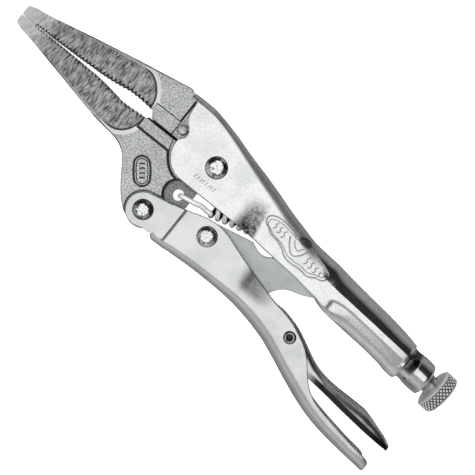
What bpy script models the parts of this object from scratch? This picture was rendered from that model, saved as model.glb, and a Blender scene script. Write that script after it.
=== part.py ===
"""Long-nose locking pliers with a wire cutter, lying on one side with the jaws closed and locked.

X runs along the closed jaws with the nose at -X, Y from the lower handle to the upper one, Z up.
Every outline below is in millimetres in the plane of the tool, with the jaw pivot at (0, 0) and
the middle of the thickness at 0. PLACE moves that point to where it stands in the scene."""

from math import cos, pi, radians, sin

import bmesh
import bpy
from mathutils import Vector

MM = 0.001

# Overall sizes
NOSE_LENGTH = 63.0
CHANNEL_HALF = 8.0
SHEET = 2.0
FIT = 0.3

# Pivots of the linkage
JAW_PIVOT = (0.0, 0.0)
HANDLE_PIVOT = (-12.3, -30.8)
LINK_PIVOT = (14.0, -23.35)
LEVER_PIVOT = (64.0, -33.9)
SPRING_HOLE = (-5.6, -17.7)
LOCATING_PIN = (-19.8, 3.4)

# Jaws
JAW_HALF = 7.0
NOSE_TIP_HALF = 3.0
GROUND_DEPTH = 0.5
JAW_LINE = -0.4
NOSE_ROOT = -36.0
TOOTH_PITCH = 1.65
HUB_RADIUS = 9.9
LUG_HALF = 2.0

# Link, lever, rivets
LINK_HALF = 4.5
LEVER_HALF = 5.5
LEVER_SHEET = 1.6
RIVET_RADIUS = 3.2
HEAD_RADIUS = 4.35
HEAD_RISE = 1.9
TUBE_RIVET_RADIUS = 1.9

# Adjusting screw: its axis passes through the neck of the upper handle
NECK_CENTRE = (113.0, -13.2)
AXIS_TILT = radians(-4.57)
SCREW_RADIUS = 3.9
THREAD_PITCH = 1.41
THREAD_DEPTH = 0.55
SCREW_TIP = -34.0
SCREW_END = 8.3
KNOB_RADIUS = 8.85
KNOB_LENGTH = 5.7
NECK_RADIUS = 6.95

# Spring
WIRE_RADIUS = 0.8
COIL_RADIUS = 2.95
COIL_TURNS = 9

THIN_HALF = CHANNEL_HALF - SHEET - FIT
TONGUE_HALF = CHANNEL_HALF - 0.5
TONGUE_ROOM = TONGUE_HALF - SHEET
LOWER_HALF = CHANNEL_HALF + 0.2
HOLE_RADIUS = RIVET_RADIUS + FIT
DOME_TOP = 1.3
PLACE = (-14.461, 19.529, LOWER_HALF + FIT + 0.35 + (HEAD_RISE - 0.35) * sin(DOME_TOP))

for old in list(bpy.data.objects):
    bpy.data.objects.remove(old)

parts = bpy.data.collections.new("locking_pliers")
cutters = bpy.data.collections.new("cutters")
for made in (parts, cutters):
    bpy.context.scene.collection.children.link(made)


def nose(x):
    """The X of a nose point, which follows the nose length."""
    return x if x > NOSE_ROOT else NOSE_ROOT + (x - NOSE_ROOT) * NOSE_LENGTH / 63.0


def ring_points(centre, radius, first, last, count):
    """Points on an arc, from one angle to another in degrees."""
    turn = [radians(first + (last - first) * i / (count - 1)) for i in range(count)]
    return [(centre[0] + radius * cos(a), centre[1] + radius * sin(a), 1) for a in turn]


def place(bm, name, pivot, cutter=False):
    """Makes an object of a mesh in millimetres, with its origin on the pivot."""
    bm.normal_update()
    bmesh.ops.recalc_face_normals(bm, faces=bm.faces)
    origin = Vector((pivot[0], pivot[1], 0.0))
    for vert in bm.verts:
        vert.co = (vert.co - origin) * MM
    mesh = bpy.data.meshes.new(name)
    bm.to_mesh(mesh)
    bm.free()
    obj = bpy.data.objects.new(name, mesh)
    obj.location = (origin + Vector(PLACE)) * MM
    (cutters if cutter else parts).objects.link(obj)
    if cutter:
        obj.hide_render = True
        obj.display_type = "WIRE"
    return obj


def plate(outlines, low, high):
    """A mesh of closed outlines filled and given a thickness. A point with a third value is a corner."""
    data = bpy.data.curves.new("outline", "CURVE")
    data.dimensions = "2D"
    data.fill_mode = "BOTH"
    data.resolution_u = 2
    data.extrude = (high - low) / 2
    for outline in outlines:
        spline = data.splines.new("BEZIER")
        spline.bezier_points.add(len(outline) - 1)
        spline.use_cyclic_u = True
        for point, knot in zip(outline, spline.bezier_points):
            knot.co = (point[0], point[1], 0.0)
            kind = "VECTOR" if len(point) > 2 else "AUTO"
            knot.handle_left_type = knot.handle_right_type = kind
    guide = bpy.data.objects.new("outline", data)
    bpy.context.scene.collection.objects.link(guide)
    seen = guide.evaluated_get(bpy.context.evaluated_depsgraph_get())
    mesh = bpy.data.meshes.new_from_object(seen)
    bm = bmesh.new()
    bm.from_mesh(mesh)
    bpy.data.objects.remove(guide)
    bpy.data.curves.remove(data)
    bpy.data.meshes.remove(mesh)
    bmesh.ops.remove_doubles(bm, verts=bm.verts, dist=0.0001)
    bmesh.ops.translate(bm, verts=bm.verts, vec=(0.0, 0.0, (low + high) / 2))
    return bm


def both_sides(bm):
    """Adds the mirror image of a mesh across the middle of the thickness."""
    twin = bmesh.ops.duplicate(bm, geom=bm.verts[:] + bm.edges[:] + bm.faces[:])
    for item in twin["geom"]:
        if isinstance(item, bmesh.types.BMVert):
            item.co.z = -item.co.z
    bmesh.ops.reverse_faces(bm, faces=[item for item in twin["geom"] if isinstance(item, bmesh.types.BMFace)])
    return bm


def loft(rings, closed=False):
    """A mesh through rings of equally many points, capped at both ends unless it closes on itself."""
    bm = bmesh.new()
    rows = [[bm.verts.new(point) for point in ring] for ring in rings]
    pairs = list(zip(rows, rows[1:])) + ([(rows[-1], rows[0])] if closed else [])
    for a, b in pairs:
        for i in range(len(a)):
            j = (i + 1) % len(a)
            bm.faces.new((a[i], a[j], b[j], b[i]))
    if not closed:
        bm.faces.new(rows[0])
        bm.faces.new(rows[-1])
    return bm


def turned(profile, centre, sides=20):
    """Rings of a turned piece whose axis runs through the thickness, from (radius, height) points."""
    return [
        [Vector((x, y, height)) for x, y, _ in ring_points(centre, radius, 0, 360 - 360 / sides, sides)]
        for radius, height in profile
    ]


def along_screw(travel, radius, angle):
    """A point around the adjusting screw's axis."""
    up = Vector((-sin(AXIS_TILT), cos(AXIS_TILT), 0.0))
    on_axis = Vector((NECK_CENTRE[0] + travel * cos(AXIS_TILT), NECK_CENTRE[1] + travel * sin(AXIS_TILT), 0.0))
    return on_axis + up * (radius * cos(angle)) + Vector((0.0, 0.0, radius * sin(angle)))


def channel(x, web, edge, half, bend, sheet=SHEET, curl_radius=4.0, curl=4.0):
    """One section of a folded sheet channel: web with two bends, two walls, edges that may curl in."""
    side = 1.0 if web > edge else -1.0
    path = []
    for step in range(4):
        a = pi / 2 * (1 - step / 3)
        path.append((half - bend + bend * cos(a), web - side * bend * (1 - sin(a)), cos(a), side * sin(a)))
    for step in range(3):
        b = radians(curl) * step / 2
        y = edge + side * curl_radius * (sin(radians(curl)) - sin(b))
        path.append((half - curl_radius * (1 - cos(b)), y, cos(b), -side * sin(b)))
    whole = [(-z, y, -nz, ny) for z, y, nz, ny in reversed(path)] + path
    outer = [Vector((x, y, z)) for z, y, nz, ny in whole]
    inner = [Vector((x, y - sheet * ny, z - sheet * nz)) for z, y, nz, ny in whole]
    return outer + inner[::-1]


def cut(obj, bm, name, operation="DIFFERENCE"):
    """Takes a mesh away from a piece, or adds it."""
    tool = place(bm, obj.name + "." + name, (0.0, 0.0), cutter=True)
    modifier = obj.modifiers.new(name, "BOOLEAN")
    modifier.operation = operation
    modifier.solver = "EXACT"
    modifier.object = tool


def holes(obj, centres, name="holes"):
    """Drills round holes (centre, radius) through the thickness."""
    for i, (centre, radius) in enumerate(centres):
        cut(obj, loft(turned([(radius, -14.0), (radius, 14.0)], centre)), f"{name}_{i}")


def round_rims(obj, width, skip, segments=2):
    """Rounds the edges around both faces of a plate, except where skip says so."""
    bm = bmesh.new()
    bm.from_mesh(obj.data)
    weight = bm.edges.layers.float.new("bevel_weight_edge")
    origin = obj.location / MM - Vector(PLACE)
    for edge in bm.edges:
        flat = sorted(abs(face.normal.z) for face in edge.link_faces)
        middle = (edge.verts[0].co + edge.verts[1].co) / (2 * MM) + origin
        if len(flat) == 2 and flat[0] < 0.3 and flat[1] > 0.9 and not skip(middle):
            edge[weight] = 1.0
    bm.to_mesh(obj.data)
    bm.free()
    bevel = obj.modifiers.new("rims", "BEVEL")
    bevel.limit_method = "WEIGHT"
    bevel.width = width * MM
    bevel.segments = segments


def taper_nose(bm):
    """Thins a jaw blank in a straight taper from the nose's root to its tip."""
    bmesh.ops.bisect_plane(
        bm, geom=bm.verts[:] + bm.edges[:] + bm.faces[:], plane_co=(NOSE_ROOT, 0, 0), plane_no=(1, 0, 0)
    )
    for vert in bm.verts:
        reach = (NOSE_ROOT - vert.co.x) / NOSE_LENGTH
        if reach > 0:
            vert.co.z *= 1 - reach * (1 - NOSE_TIP_HALF / JAW_HALF)
    return bm


def ground_sides(edge, heel):
    """Cutter that grinds a jaw's nose flat on both sides, up to a round heel."""
    slope = (JAW_HALF - NOSE_TIP_HALF) / NOSE_LENGTH
    outline = [(nose(-106), edge[0][1], 1), (nose(-106), heel[-1][1], 1)] + heel[::-1] + edge[::-1]
    bm = plate([outline], 0.0, 8.0)
    for vert in bm.verts:
        floor = JAW_HALF - GROUND_DEPTH - slope * (NOSE_ROOT - vert.co.x)
        vert.co.z = floor if vert.co.z < 4 else vert.co.z + 4
    return both_sides(bm)


def comb(line, side, close):
    """Cutter for a jaw's serrated edge: teeth hang from the tip line, then it closes along the given points."""
    def height(x):
        for (x0, y0), (x1, y1) in zip(line, line[1:]):
            if x <= x1:
                return y0 + (y1 - y0) * (x - x0) / (x1 - x0)
        return line[-1][1]

    x, saw = -92.0, []
    while x < NOSE_ROOT - 0.4:
        wide = TOOTH_PITCH * (0.8 + 0.45 * (x + 92.0) / 56.0)
        deep = 0.45 * wide
        saw += [(nose(x), height(x), 1), (nose(x + wide * 0.55), height(x) + side * deep, 1)]
        x += wide
    start = [(nose(-92.0), JAW_LINE - side * 6.0, 1)]
    return plate([start + saw + close], -12.0, 12.0)


# Fixed jaw: a forging whose thinned tail sits in the front of the upper handle
jaw_bottom = JAW_LINE + FIT / 2
blank = [(nose(-98.9), jaw_bottom, 1), (nose(-98.95), 2.4), (nose(-98.7), 3.8), (nose(-97.6), 4.4)]
blank += [(nose(x), y) for x, y in ((-90, 5.85), (-80, 8.0), (-70, 10.15), (-60, 12.2), (-50, 14.2), (-40, 16.0))]
blank += [(-32.0, 17.6), (-27.6, 18.4), (-26.2, 18.3), (-25.0, 17.2), (-24.9, 15.6, 1), (-16.0, 15.5), (-10.0, 14.5)]
blank += [(-6.0, 13.5, 1)] + ring_points((0, 0), HUB_RADIUS + 0.35, 126, 183.5, 7)
blank += [(-20.8, -0.6, 1), (-33.5, -0.6, 1), (-34.5, jaw_bottom, 1)]
fixed_jaw = place(taper_nose(plate([blank], -JAW_HALF, JAW_HALF)), "fixed_jaw", (0.0, 0.0))
round_rims(fixed_jaw, 1.1, lambda p: p.y < 4.0 or p.x > -24.95)
cut(fixed_jaw, ground_sides(
    [(nose(-80), 8.4), (nose(-70), 9.3), (nose(-60), 11.0), (nose(-50), 12.6)],
    [(-44.5, 12.7), (-41.0, 11.5), (-38.3, 9.2), (-36.4, 6.2), (-35.6, 3.0), (-35.4, -1.0, 1), (-35.4, -4.0, 1)],
), "ground")
cut(fixed_jaw, comb(
    [(-92, -0.25), (-85, -0.15), (-80, 0.1), (-70, 0.5), (-60, 1.0), (-55, 1.5), (-50, 2.3), (-47, 2.9), (-42, 2.9), (-36, 2.5)],
    1, [(-35.2, 2.5), (-34.2, 2.0), (-33.2, 0.7), (-32.5, -0.6, 1), (-32.2, -6.4, 1)],
), "teeth")
seat = [(-22.4, 22.0, 1), (-22.4, -3.0, 1), (4.0, -3.0, 1), (4.0, 22.0, 1)]
cut(fixed_jaw, both_sides(plate([seat], THIN_HALF, 12.0)), "seat")
blade = [(-34.6, 5.4, 1), (-34.9, -2.5, 1), (-18.0, -2.5, 1), (-18.0, 5.7, 1)]
cut(fixed_jaw, both_sides(plate([blade], JAW_HALF - 0.7, 12.0)), "blade")
holes(fixed_jaw, [(LOCATING_PIN, 1.9 + FIT)])

# Lower jaw: hub in the upper handle, wire cutter, arm to the lower handle, thin lug for the spring
px, py = HANDLE_PIVOT
jaw_top = JAW_LINE - FIT / 2
blank = [(nose(-98.9), jaw_top, 1), (-84.0, jaw_top, 1), (-34.9, jaw_top, 1), (-34.9, -2.0, 1), (-9.7, -2.0, 1)]
blank += ring_points((0, 0), HUB_RADIUS, 186, -82, 21)
blank += [(-0.2, -11.2, 1), (-0.2, -22.3, 1), (-2.2, -24.6), (-4.6, -27.6), (px + 7.4, py), (px + 5.2, py - 5.2)]
blank += [(px, py - 7.4), (-16.9, -36.65), (-19.7, -34.9), (-24.7, -29.9), (-28.3, -25.0), (-32.0, -19.9), (-34.2, -17.8)]
blank += [(-37.0, -16.3), (-40.5, -15.5), (-45.0, -15.05)]
blank += [(nose(x), y) for x, y in ((-50, -14.4), (-60, -12.45), (-70, -10.3), (-80, -8.25), (-90, -6.25), (-97.6, -4.7))]
blank += [(nose(-98.7), -4.0), (nose(-98.95), -2.4)]
lower_jaw = place(taper_nose(plate([blank], -JAW_HALF, JAW_HALF)), "lower_jaw", JAW_PIVOT)
round_rims(lower_jaw, 1.1, lambda p: p.y > -4.0 or p.x > -17.5)
cut(lower_jaw, ground_sides(
    [(nose(-90), -6.8), (nose(-75), -8.6), (nose(-60), -11.4), (nose(-50), -12.9)],
    [(-44.5, -13.1), (-40.5, -12.2), (-37.6, -9.9), (-35.8, -6.6), (-35.2, -3.5), (-35.2, 0.5, 1), (-35.2, 4.0, 1)],
), "ground")
cut(lower_jaw, comb(
    [(-92, -0.55), (-85, -0.6), (-80, -0.65), (-70, -0.8), (-60, -1.0), (-55, -1.4), (-50, -2.1), (-46, -2.7), (-42, -2.5), (-36, -2.0)],
    -1, [(-35.4, -2.0, 1), (-34.0, -2.0, 1), (-34.0, 5.6, 1)],
), "teeth")
channel_zone = [(-21.4, 6.0, 1), (-20.8, -0.4), (-20.1, -2.6), (-19.1, -5.6), (-17.3, -8.4), (-14.8, -10.9), (-11.8, -12.5)]
channel_zone += [(-9.4, -12.9, 1), (20.0, -12.9, 1), (20.0, 14.0, 1), (-21.4, 14.0, 1)]
cut(lower_jaw, both_sides(plate([channel_zone], THIN_HALF, 12.0)), "channel_zone")
lug_zone = [(6.0, -10.2, 1), (-2.0, -10.3, 1), (-7.2, -11.9)] + ring_points(SPRING_HOLE, 5.7, 125, 245, 6)
lug_zone += [(-5.0, -23.9, 1), (6.0, -24.5, 1)]
cut(lower_jaw, both_sides(plate([lug_zone], LUG_HALF, 12.0)), "lug_zone")
tongue_zone = ring_points(HANDLE_PIVOT, 7.5, 98, 268, 12)
tongue_zone += [(px, -43.0, 1), (8.0, -43.0, 1), (8.0, -20.8, 1), (-4.0, -21.4, 1), (-8.5, -22.4, 1)]
cut(lower_jaw, both_sides(plate([tongue_zone], TONGUE_ROOM - FIT, 12.1)), "tongue_zone")
blade = [(-34.9, -6.4, 1), (-34.9, 1.0, 1), (-18.0, 1.0, 1), (-18.0, -6.4, 1)]
cut(lower_jaw, both_sides(plate([blade], JAW_HALF - 0.7, 12.2)), "blade")
badge = ring_points((-23.9, -17.1), 3.0, 39, 219, 6) + ring_points((-20.4, -21.4), 3.0, 219, 399, 6)
cut(lower_jaw, both_sides(plate([badge], JAW_HALF - 0.25, 12.3)), "badge")
holes(lower_jaw, [(JAW_PIVOT, HOLE_RADIUS), (HANDLE_PIVOT, HOLE_RADIUS), (SPRING_HOLE, 2.35)])

# Upper handle: one folded sheet, from the jaw to the rolled neck that carries the screw
def neck(x, half, curl=78.0):
    middle = NECK_CENTRE[1] + (x - NECK_CENTRE[0]) * AXIS_TILT
    return channel(x, middle + half, middle - half, half, half - 0.3, NECK_RADIUS - SCREW_RADIUS - 0.35 - (NECK_RADIUS - half), half - 0.3, curl)


sections = [
    channel(x, web, edge, CHANNEL_HALF + wide, bend, SHEET, roll, curl)
    for x, web, edge, wide, bend, roll, curl in (
        (-24.5, 18.0, -12.2, 0.0, 2.8, 4.0, 4),
        (-20.0, 18.1, -12.2, 0.0, 2.8, 4.0, 4),
        (-15.0, 17.95, -12.2, 0.0, 2.8, 4.0, 4),
        (-10.0, 17.2, -12.2, 0.0, 2.8, 4.0, 4),
        (-5.0, 16.1, -12.2, 0.0, 2.9, 4.0, 4),
        (0.0, 14.85, -12.2, 0.0, 3.1, 4.0, 4),
        (6.0, 13.1, -12.2, 0.0, 3.4, 4.0, 4),
        (13.0, 11.3, -12.2, 0.0, 3.9, 4.0, 4),
        (18.0, 10.1, -12.2, -0.5, 4.3, 4.0, 4),
        (22.0, 9.0, -12.2, -1.05, 4.4, 4.0, 4),
        (26.0, 7.9, -12.25, -1.0, 4.5, 4.0, 4),
        (30.0, 6.7, -12.4, -0.5, 4.9, 4.0, 4),
        (35.0, 5.2, -12.9, -0.4, 5.1, 4.0, 4),
        (42.0, 3.5, -13.3, -0.4, 5.3, 4.0, 4),
        (50.0, 1.7, -13.8, -0.4, 5.8, 4.0, 6),
        (57.0, 1.1, -14.7, -0.4, 6.5, 4.0, 8),
        (62.0, 0.8, -15.4, -0.4, 6.9, 4.0, 14),
        (66.0, 0.3, -16.8, -0.3, 7.1, 4.6, 34),
        (70.0, -0.2, -17.7, -0.3, 7.2, 5.0, 48),
        (80.0, -1.3, -18.5, -0.3, 7.2, 5.0, 50),
        (90.0, -2.3, -19.1, -0.3, 7.1, 5.0, 50),
        (99.0, -3.5, -20.0, -0.35, 6.9, 5.0, 50),
        (104.5, -4.6, -21.0, -0.5, 6.6, 5.4, 54),
        (106.3, -5.1, -20.9, -1.0, 6.3, 5.6, 60),
    )
]
sections += [neck(108.0, 6.4, 66.0), neck(109.6, 6.5, 74.0), neck(111.0, 6.95), neck(116.4, 6.95), neck(117.4, 6.6), neck(117.9, 5.9)]
upper_handle = place(loft(sections), "upper_handle", (0.0, 0.0))
front = [(-32.0, 15.95, 1), (-22.6, 15.95, 1), (-21.9, 15.1), (-21.5, 11.5), (-20.9, 9.0), (-20.0, 7.1), (-18.6, 5.9)]
front += [(-17.3, 4.6), (-16.8, 2.8), (-17.2, 1.0), (-18.2, 0.0, 1), (-18.8, -1.4, 1), (-18.6, -3.5), (-17.8, -6.0)]
front += [(-16.2, -8.5), (-13.8, -10.7), (-11.0, -11.9), (-8.0, -12.15, 1), (-7.0, -16.0, 1), (-32.0, -16.0, 1)]
cut(upper_handle, plate([front], -13.0, 13.0), "front")
tab = plate([[(41.3, 3.0, 1), (42.8, 3.0, 1), (42.8, -6.6, 1), (41.3, -6.6, 1)]], -2.2, 2.2)
cut(upper_handle, tab, "spring_tab", "UNION")
eye = [[Vector((x, -4.6 + 1.15 * cos(a), 1.15 * sin(a))) for a in [2 * pi * i / 12 for i in range(12)]] for x in (40.0, 44.0)]
cut(upper_handle, loft(eye), "spring_eye")
holes(upper_handle, [(JAW_PIVOT, HOLE_RADIUS)])

# Lower handle: a second channel that opens upward, with a narrower tongue around the jaw's arm
sections = [
    channel(x, web, edge, LOWER_HALF + wide, bend)
    for x, web, edge, wide, bend in (
        (-4.3, -37.0, -22.0, -0.7, 2.6),
        (-2.5, -38.2, -21.5, -0.7, 2.8),
        (1.3, -38.1, -20.4, -0.7, 3.0),
        (2.5, -38.0, -20.0, 0.0, 3.2),
        (6.0, -37.6, -18.9, 0.0, 3.2),
        (10.0, -37.4, -17.8, 0.0, 3.3),
        (15.0, -37.1, -17.25, 0.0, 3.4),
        (20.0, -37.0, -18.0, 0.0, 3.5),
        (25.0, -37.0, -19.6, 0.0, 3.6),
        (30.0, -37.1, -21.2, 0.0, 3.8),
        (35.5, -37.4, -22.8, -0.2, 4.2),
        (39.0, -37.8, -23.8, -0.8, 4.5),
        (45.0, -38.8, -25.5, -0.9, 4.8),
        (51.0, -40.1, -27.0, -0.3, 5.0),
        (56.0, -41.5, -27.8, 0.0, 5.0),
        (61.0, -43.4, -29.0, 0.0, 5.0),
        (66.0, -45.4, -31.0, 0.0, 5.0),
        (71.0, -47.6, -33.6, 0.0, 5.0),
        (75.0, -49.2, -37.0, 0.0, 5.0),
        (79.0, -50.8, -41.6, 0.0, 5.0),
        (83.0, -52.2, -45.3, 0.1, 5.0),
        (88.0, -53.7, -47.8, 0.3, 4.7),
        (94.0, -55.0, -49.2, 0.4, 4.5),
        (102.0, -56.1, -50.6, 0.4, 4.3),
        (110.0, -56.8, -51.8, 0.4, 4.0),
        (115.5, -57.2, -52.5, 0.1, 3.6),
        (117.6, -57.4, -53.6, -0.8, 2.9),
        (119.0, -57.5, -55.0, -2.2, 2.15),
    )
]
lower_handle = place(loft(sections), "lower_handle", HANDLE_PIVOT)
tongue = [(0.9, -20.9, 1), (-4.0, -21.9), (-8.0, -22.7)] + ring_points(HANDLE_PIVOT, 7.0, 96, 268, 12)
tongue += [(-9.6, -37.2), (-7.6, -36.5), (-4.6, -36.3), (-3.4, -35.1, 1), (0.9, -35.1, 1)]
cut(lower_handle, both_sides(plate([tongue], TONGUE_ROOM - 0.05, TONGUE_HALF + 0.05)), "tongue", "UNION")
holes(lower_handle, [(HANDLE_PIVOT, HOLE_RADIUS), (LINK_PIVOT, HOLE_RADIUS), (LEVER_PIVOT, TUBE_RIVET_RADIUS + FIT)])

# Toggle link, from the lower handle to the tip of the screw
link_end = [(70.1, -9.77 + dy) for dy in (3.8, -3.8)]
outline = ring_points(LINK_PIVOT, 6.4, 290, 112, 12) + [(20.0, -15.7), (25.0, -14.6), (29.6, -13.6, 1)]
outline += [(31.6, -14.6), (34.0, -15.35), (36.4, -15.3), (38.5, -14.3), (41.0, -12.6), (46.0, -10.4), (56.0, -7.4), (65.0, -6.0)]
outline += [link_end[0], (73.2, -7.6), (73.9, -9.8), (73.0, -12.2), link_end[1], (66.0, -14.4), (62.0, -15.9), (58.0, -17.9)]
outline += [(52.0, -20.0), (49.6, -21.6), (48.0, -23.6), (47.0, -25.4), (46.2, -27.6), (43.0, -29.3), (35.0, -29.8), (25.0, -29.9)]
toggle_link = place(plate([outline], -LINK_HALF, LINK_HALF), "toggle_link", LINK_PIVOT)
round_rims(toggle_link, 0.5, lambda p: False, 1)
holes(toggle_link, [(LINK_PIVOT, HOLE_RADIUS)])

# Release lever: a narrow channel on a tubular rivet, flared behind the handle
sections = [
    channel(x, web, edge, half, bend, LEVER_SHEET, 3.0, 4.0)
    for x, web, edge, half, bend in (
        (49.8, -27.7, -30.6, LEVER_HALF - 0.3, 2.2),
        (52.0, -27.0, -32.0, LEVER_HALF, 2.4),
        (56.0, -26.9, -34.8, LEVER_HALF, 2.7),
        (60.0, -27.6, -37.4, LEVER_HALF, 3.0),
        (64.0, -28.6, -38.8, LEVER_HALF, 3.0),
        (68.0, -30.2, -39.5, LEVER_HALF, 3.0),
        (72.0, -32.1, -40.2, LEVER_HALF, 3.0),
        (76.0, -34.1, -40.9, LEVER_HALF, 3.0),
        (80.0, -35.8, -41.7, LEVER_HALF, 3.0),
        (84.0, -36.9, -42.1, LEVER_HALF + 0.3, 3.0),
        (88.0, -37.5, -42.4, LEVER_HALF + 1.1, 3.2),
        (93.0, -37.8, -42.9, LEVER_HALF + 1.8, 3.4),
        (99.0, -37.7, -43.5, LEVER_HALF + 2.0, 3.6),
        (106.0, -37.7, -44.1, LEVER_HALF + 2.0, 3.6),
        (110.0, -38.5, -44.4, LEVER_HALF + 1.9, 3.4),
        (114.0, -39.8, -44.6, LEVER_HALF + 1.7, 2.8),
        (118.0, -41.0, -44.8, LEVER_HALF + 1.1, 2.4),
        (120.8, -42.3, -44.9, LEVER_HALF, 1.9),
        (122.2, -43.0, -45.1, LEVER_HALF - 1.3, 1.7),
    )
]
release_lever = place(loft(sections), "release_lever", LEVER_PIVOT)
holes(release_lever, [(LEVER_PIVOT, TUBE_RIVET_RADIUS + FIT)])


def rivet(name, centre, half):
    """A solid rivet with a domed head outside each wall."""
    top = half + FIT
    side = [(RIVET_RADIUS, 0.0), (RIVET_RADIUS, top), (HEAD_RADIUS, top), (HEAD_RADIUS, top + 0.35)]
    side += [(HEAD_RADIUS * cos(a), top + 0.35 + (HEAD_RISE - 0.35) * sin(a)) for a in (0.45, 0.9, DOME_TOP)]
    profile = [(r, -z) for r, z in reversed(side)] + side[1:]
    return place(loft(turned(profile, centre)), name, centre)


rivets = [
    rivet("jaw_rivet", JAW_PIVOT, CHANNEL_HALF),
    rivet("handle_rivet", HANDLE_PIVOT, TONGUE_HALF + 0.05),
    rivet("link_rivet", LINK_PIVOT, LOWER_HALF),
]
tube = LOWER_HALF + FIT
wall = [(0.85, -tube - 0.5), (TUBE_RIVET_RADIUS, -tube - 0.7), (2.6, -tube - 0.45), (2.6, -tube), (TUBE_RIVET_RADIUS, -tube)]
wall += [(r, -z) for r, z in reversed(wall)]
lever_rivet = place(loft(turned(wall, LEVER_PIVOT, 20), closed=True), "lever_rivet", LEVER_PIVOT)
pin = [(1.5, -CHANNEL_HALF - 0.1), (1.9, -CHANNEL_HALF + 0.3), (1.9, CHANNEL_HALF - 0.3), (1.5, CHANNEL_HALF + 0.1)]
locating_pin = place(loft(turned(pin, LOCATING_PIN, 20)), "locating_pin", LOCATING_PIN)

# Adjusting screw: plain inner end, then a thread out to the knob
core = SCREW_RADIUS - THREAD_DEPTH
rings = [[along_screw(SCREW_TIP + s, r, 2 * pi * i / 14) for i in range(14)] for s, r in ((0.0, core - 0.9), (0.9, core))]
turns, travel = 4 * 17, SCREW_END - THREAD_PITCH * 17.25
rings.append([along_screw(travel - 0.4, core, 2 * pi * i / 14) for i in range(14)])
for step in range(turns + 1):
    row = []
    for i in range(14):
        phase = (step / 4 - i / 14) % 1.0
        row.append(along_screw(travel, SCREW_RADIUS - THREAD_DEPTH * min(1.0, 2.4 * abs(phase - 0.5)), 2 * pi * i / 14))
    rings.append(row)
    travel += THREAD_PITCH / 4
rings.append([along_screw(SCREW_END, core, 2 * pi * i / 14) for i in range(14)])
adjusting_screw = place(loft(rings), "adjusting_screw", NECK_CENTRE)

# Knurled knob
inner, outer = SCREW_END + FIT, SCREW_END + FIT + KNOB_LENGTH
rows = [(inner, 5.2, 0), (inner + 0.1, 7.9, 0)]
rows += [(inner + 0.65 + (KNOB_LENGTH - 1.3) * i / 4, KNOB_RADIUS, 1 + i % 2) for i in range(5)] + [(outer, 7.9, 0)]
rings = []
for travel, radius, knurl in rows:
    rings.append([along_screw(travel, radius - (0.32 if knurl and (i + knurl) % 2 else 0.0), 2 * pi * i / 40) for i in range(40)])
adjusting_knob = place(loft(rings), "adjusting_knob", NECK_CENTRE)

# Spring: hook through the lug, coil rising into the upper handle, end through the spring tab
slope = radians(15.0)
ahead, across = Vector((cos(slope), sin(slope), 0.0)), Vector((-sin(slope), cos(slope), 0.0))
start, end = Vector((8.6, -13.7, 0.0)), Vector((35.6, -6.5, 0.0))
path = [Vector((-4.7, -17.4, z)) for z in (-3.6, -1.0, 1.6)] + [Vector(p) for p in ((-4.2, -17.3, 2.8), (-2.8, -17.0, 3.3), (1.5, -16.2, 3.1), (5.0, -15.4, 2.3), (7.4, -15.6, 1.6))]
steps = COIL_TURNS * 10
for step in range(steps + 1):
    a = pi * 0.75 + 2 * pi * step / 10
    path.append(start + (end - start) * (step / steps) + across * (COIL_RADIUS * cos(a)) + Vector((0.0, 0.0, COIL_RADIUS * sin(a))))
path += [Vector(p) for p in ((37.6, -7.6, 1.4), (39.6, -5.6, 0.3), (41.2, -4.6, 0.0), (43.2, -4.6, 0.0), (44.6, -4.0, 0.0), (45.2, -2.7, 0.0))]
data = bpy.data.curves.new("wire", "CURVE")
data.dimensions = "3D"
data.bevel_depth = WIRE_RADIUS
data.bevel_resolution = 1
data.use_fill_caps = True
spline = data.splines.new("POLY")
spline.points.add(len(path) - 1)
for point, knot in zip(path, spline.points):
    knot.co = (*point, 1.0)
guide = bpy.data.objects.new("wire", data)
bpy.context.scene.collection.objects.link(guide)
wire = bmesh.new()
mesh = bpy.data.meshes.new_from_object(guide.evaluated_get(bpy.context.evaluated_depsgraph_get()))
wire.from_mesh(mesh)
bpy.data.objects.remove(guide)
bpy.data.curves.remove(data)
bpy.data.meshes.remove(mesh)
bmesh.ops.remove_doubles(wire, verts=wire.verts, dist=0.0001)
jaw_spring = place(wire, "jaw_spring", SPRING_HOLE)

# Finishes
for obj, colour, metallic, rough in [
    (upper_handle, (0.80, 0.81, 0.82), 1.0, 0.22),
    (lower_handle, (0.76, 0.77, 0.78), 1.0, 0.26),
    (fixed_jaw, (0.56, 0.58, 0.60), 1.0, 0.40),
    (lower_jaw, (0.56, 0.58, 0.60), 1.0, 0.40),
    (toggle_link, (0.52, 0.54, 0.56), 1.0, 0.45),
    (release_lever, (0.62, 0.64, 0.66), 1.0, 0.25),
    (rivets[0], (0.82, 0.83, 0.84), 1.0, 0.15),
    (rivets[1], (0.80, 0.82, 0.83), 1.0, 0.16),
    (rivets[2], (0.81, 0.82, 0.83), 1.0, 0.15),
    (lever_rivet, (0.84, 0.84, 0.85), 1.0, 0.20),
    (locating_pin, (0.60, 0.62, 0.63), 1.0, 0.35),
    (adjusting_screw, (0.58, 0.59, 0.60), 1.0, 0.35),
    (adjusting_knob, (0.66, 0.67, 0.68), 1.0, 0.32),
    (jaw_spring, (0.86, 0.87, 0.88), 1.0, 0.20),
]:
    material = bpy.data.materials.new(obj.name + "_finish")
    material.use_nodes = True
    shader = material.node_tree.nodes["Principled BSDF"]
    shader.inputs["Base Color"].default_value = (*colour, 1.0)
    shader.inputs["Metallic"].default_value = metallic
    shader.inputs["Roughness"].default_value = rough
    obj.data.materials.append(material)
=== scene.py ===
from math import acos, atan2, cos, degrees, pi, radians, sin, sqrt

import bmesh
import bpy
from mathutils import Matrix, Vector, geometry, kdtree


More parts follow.
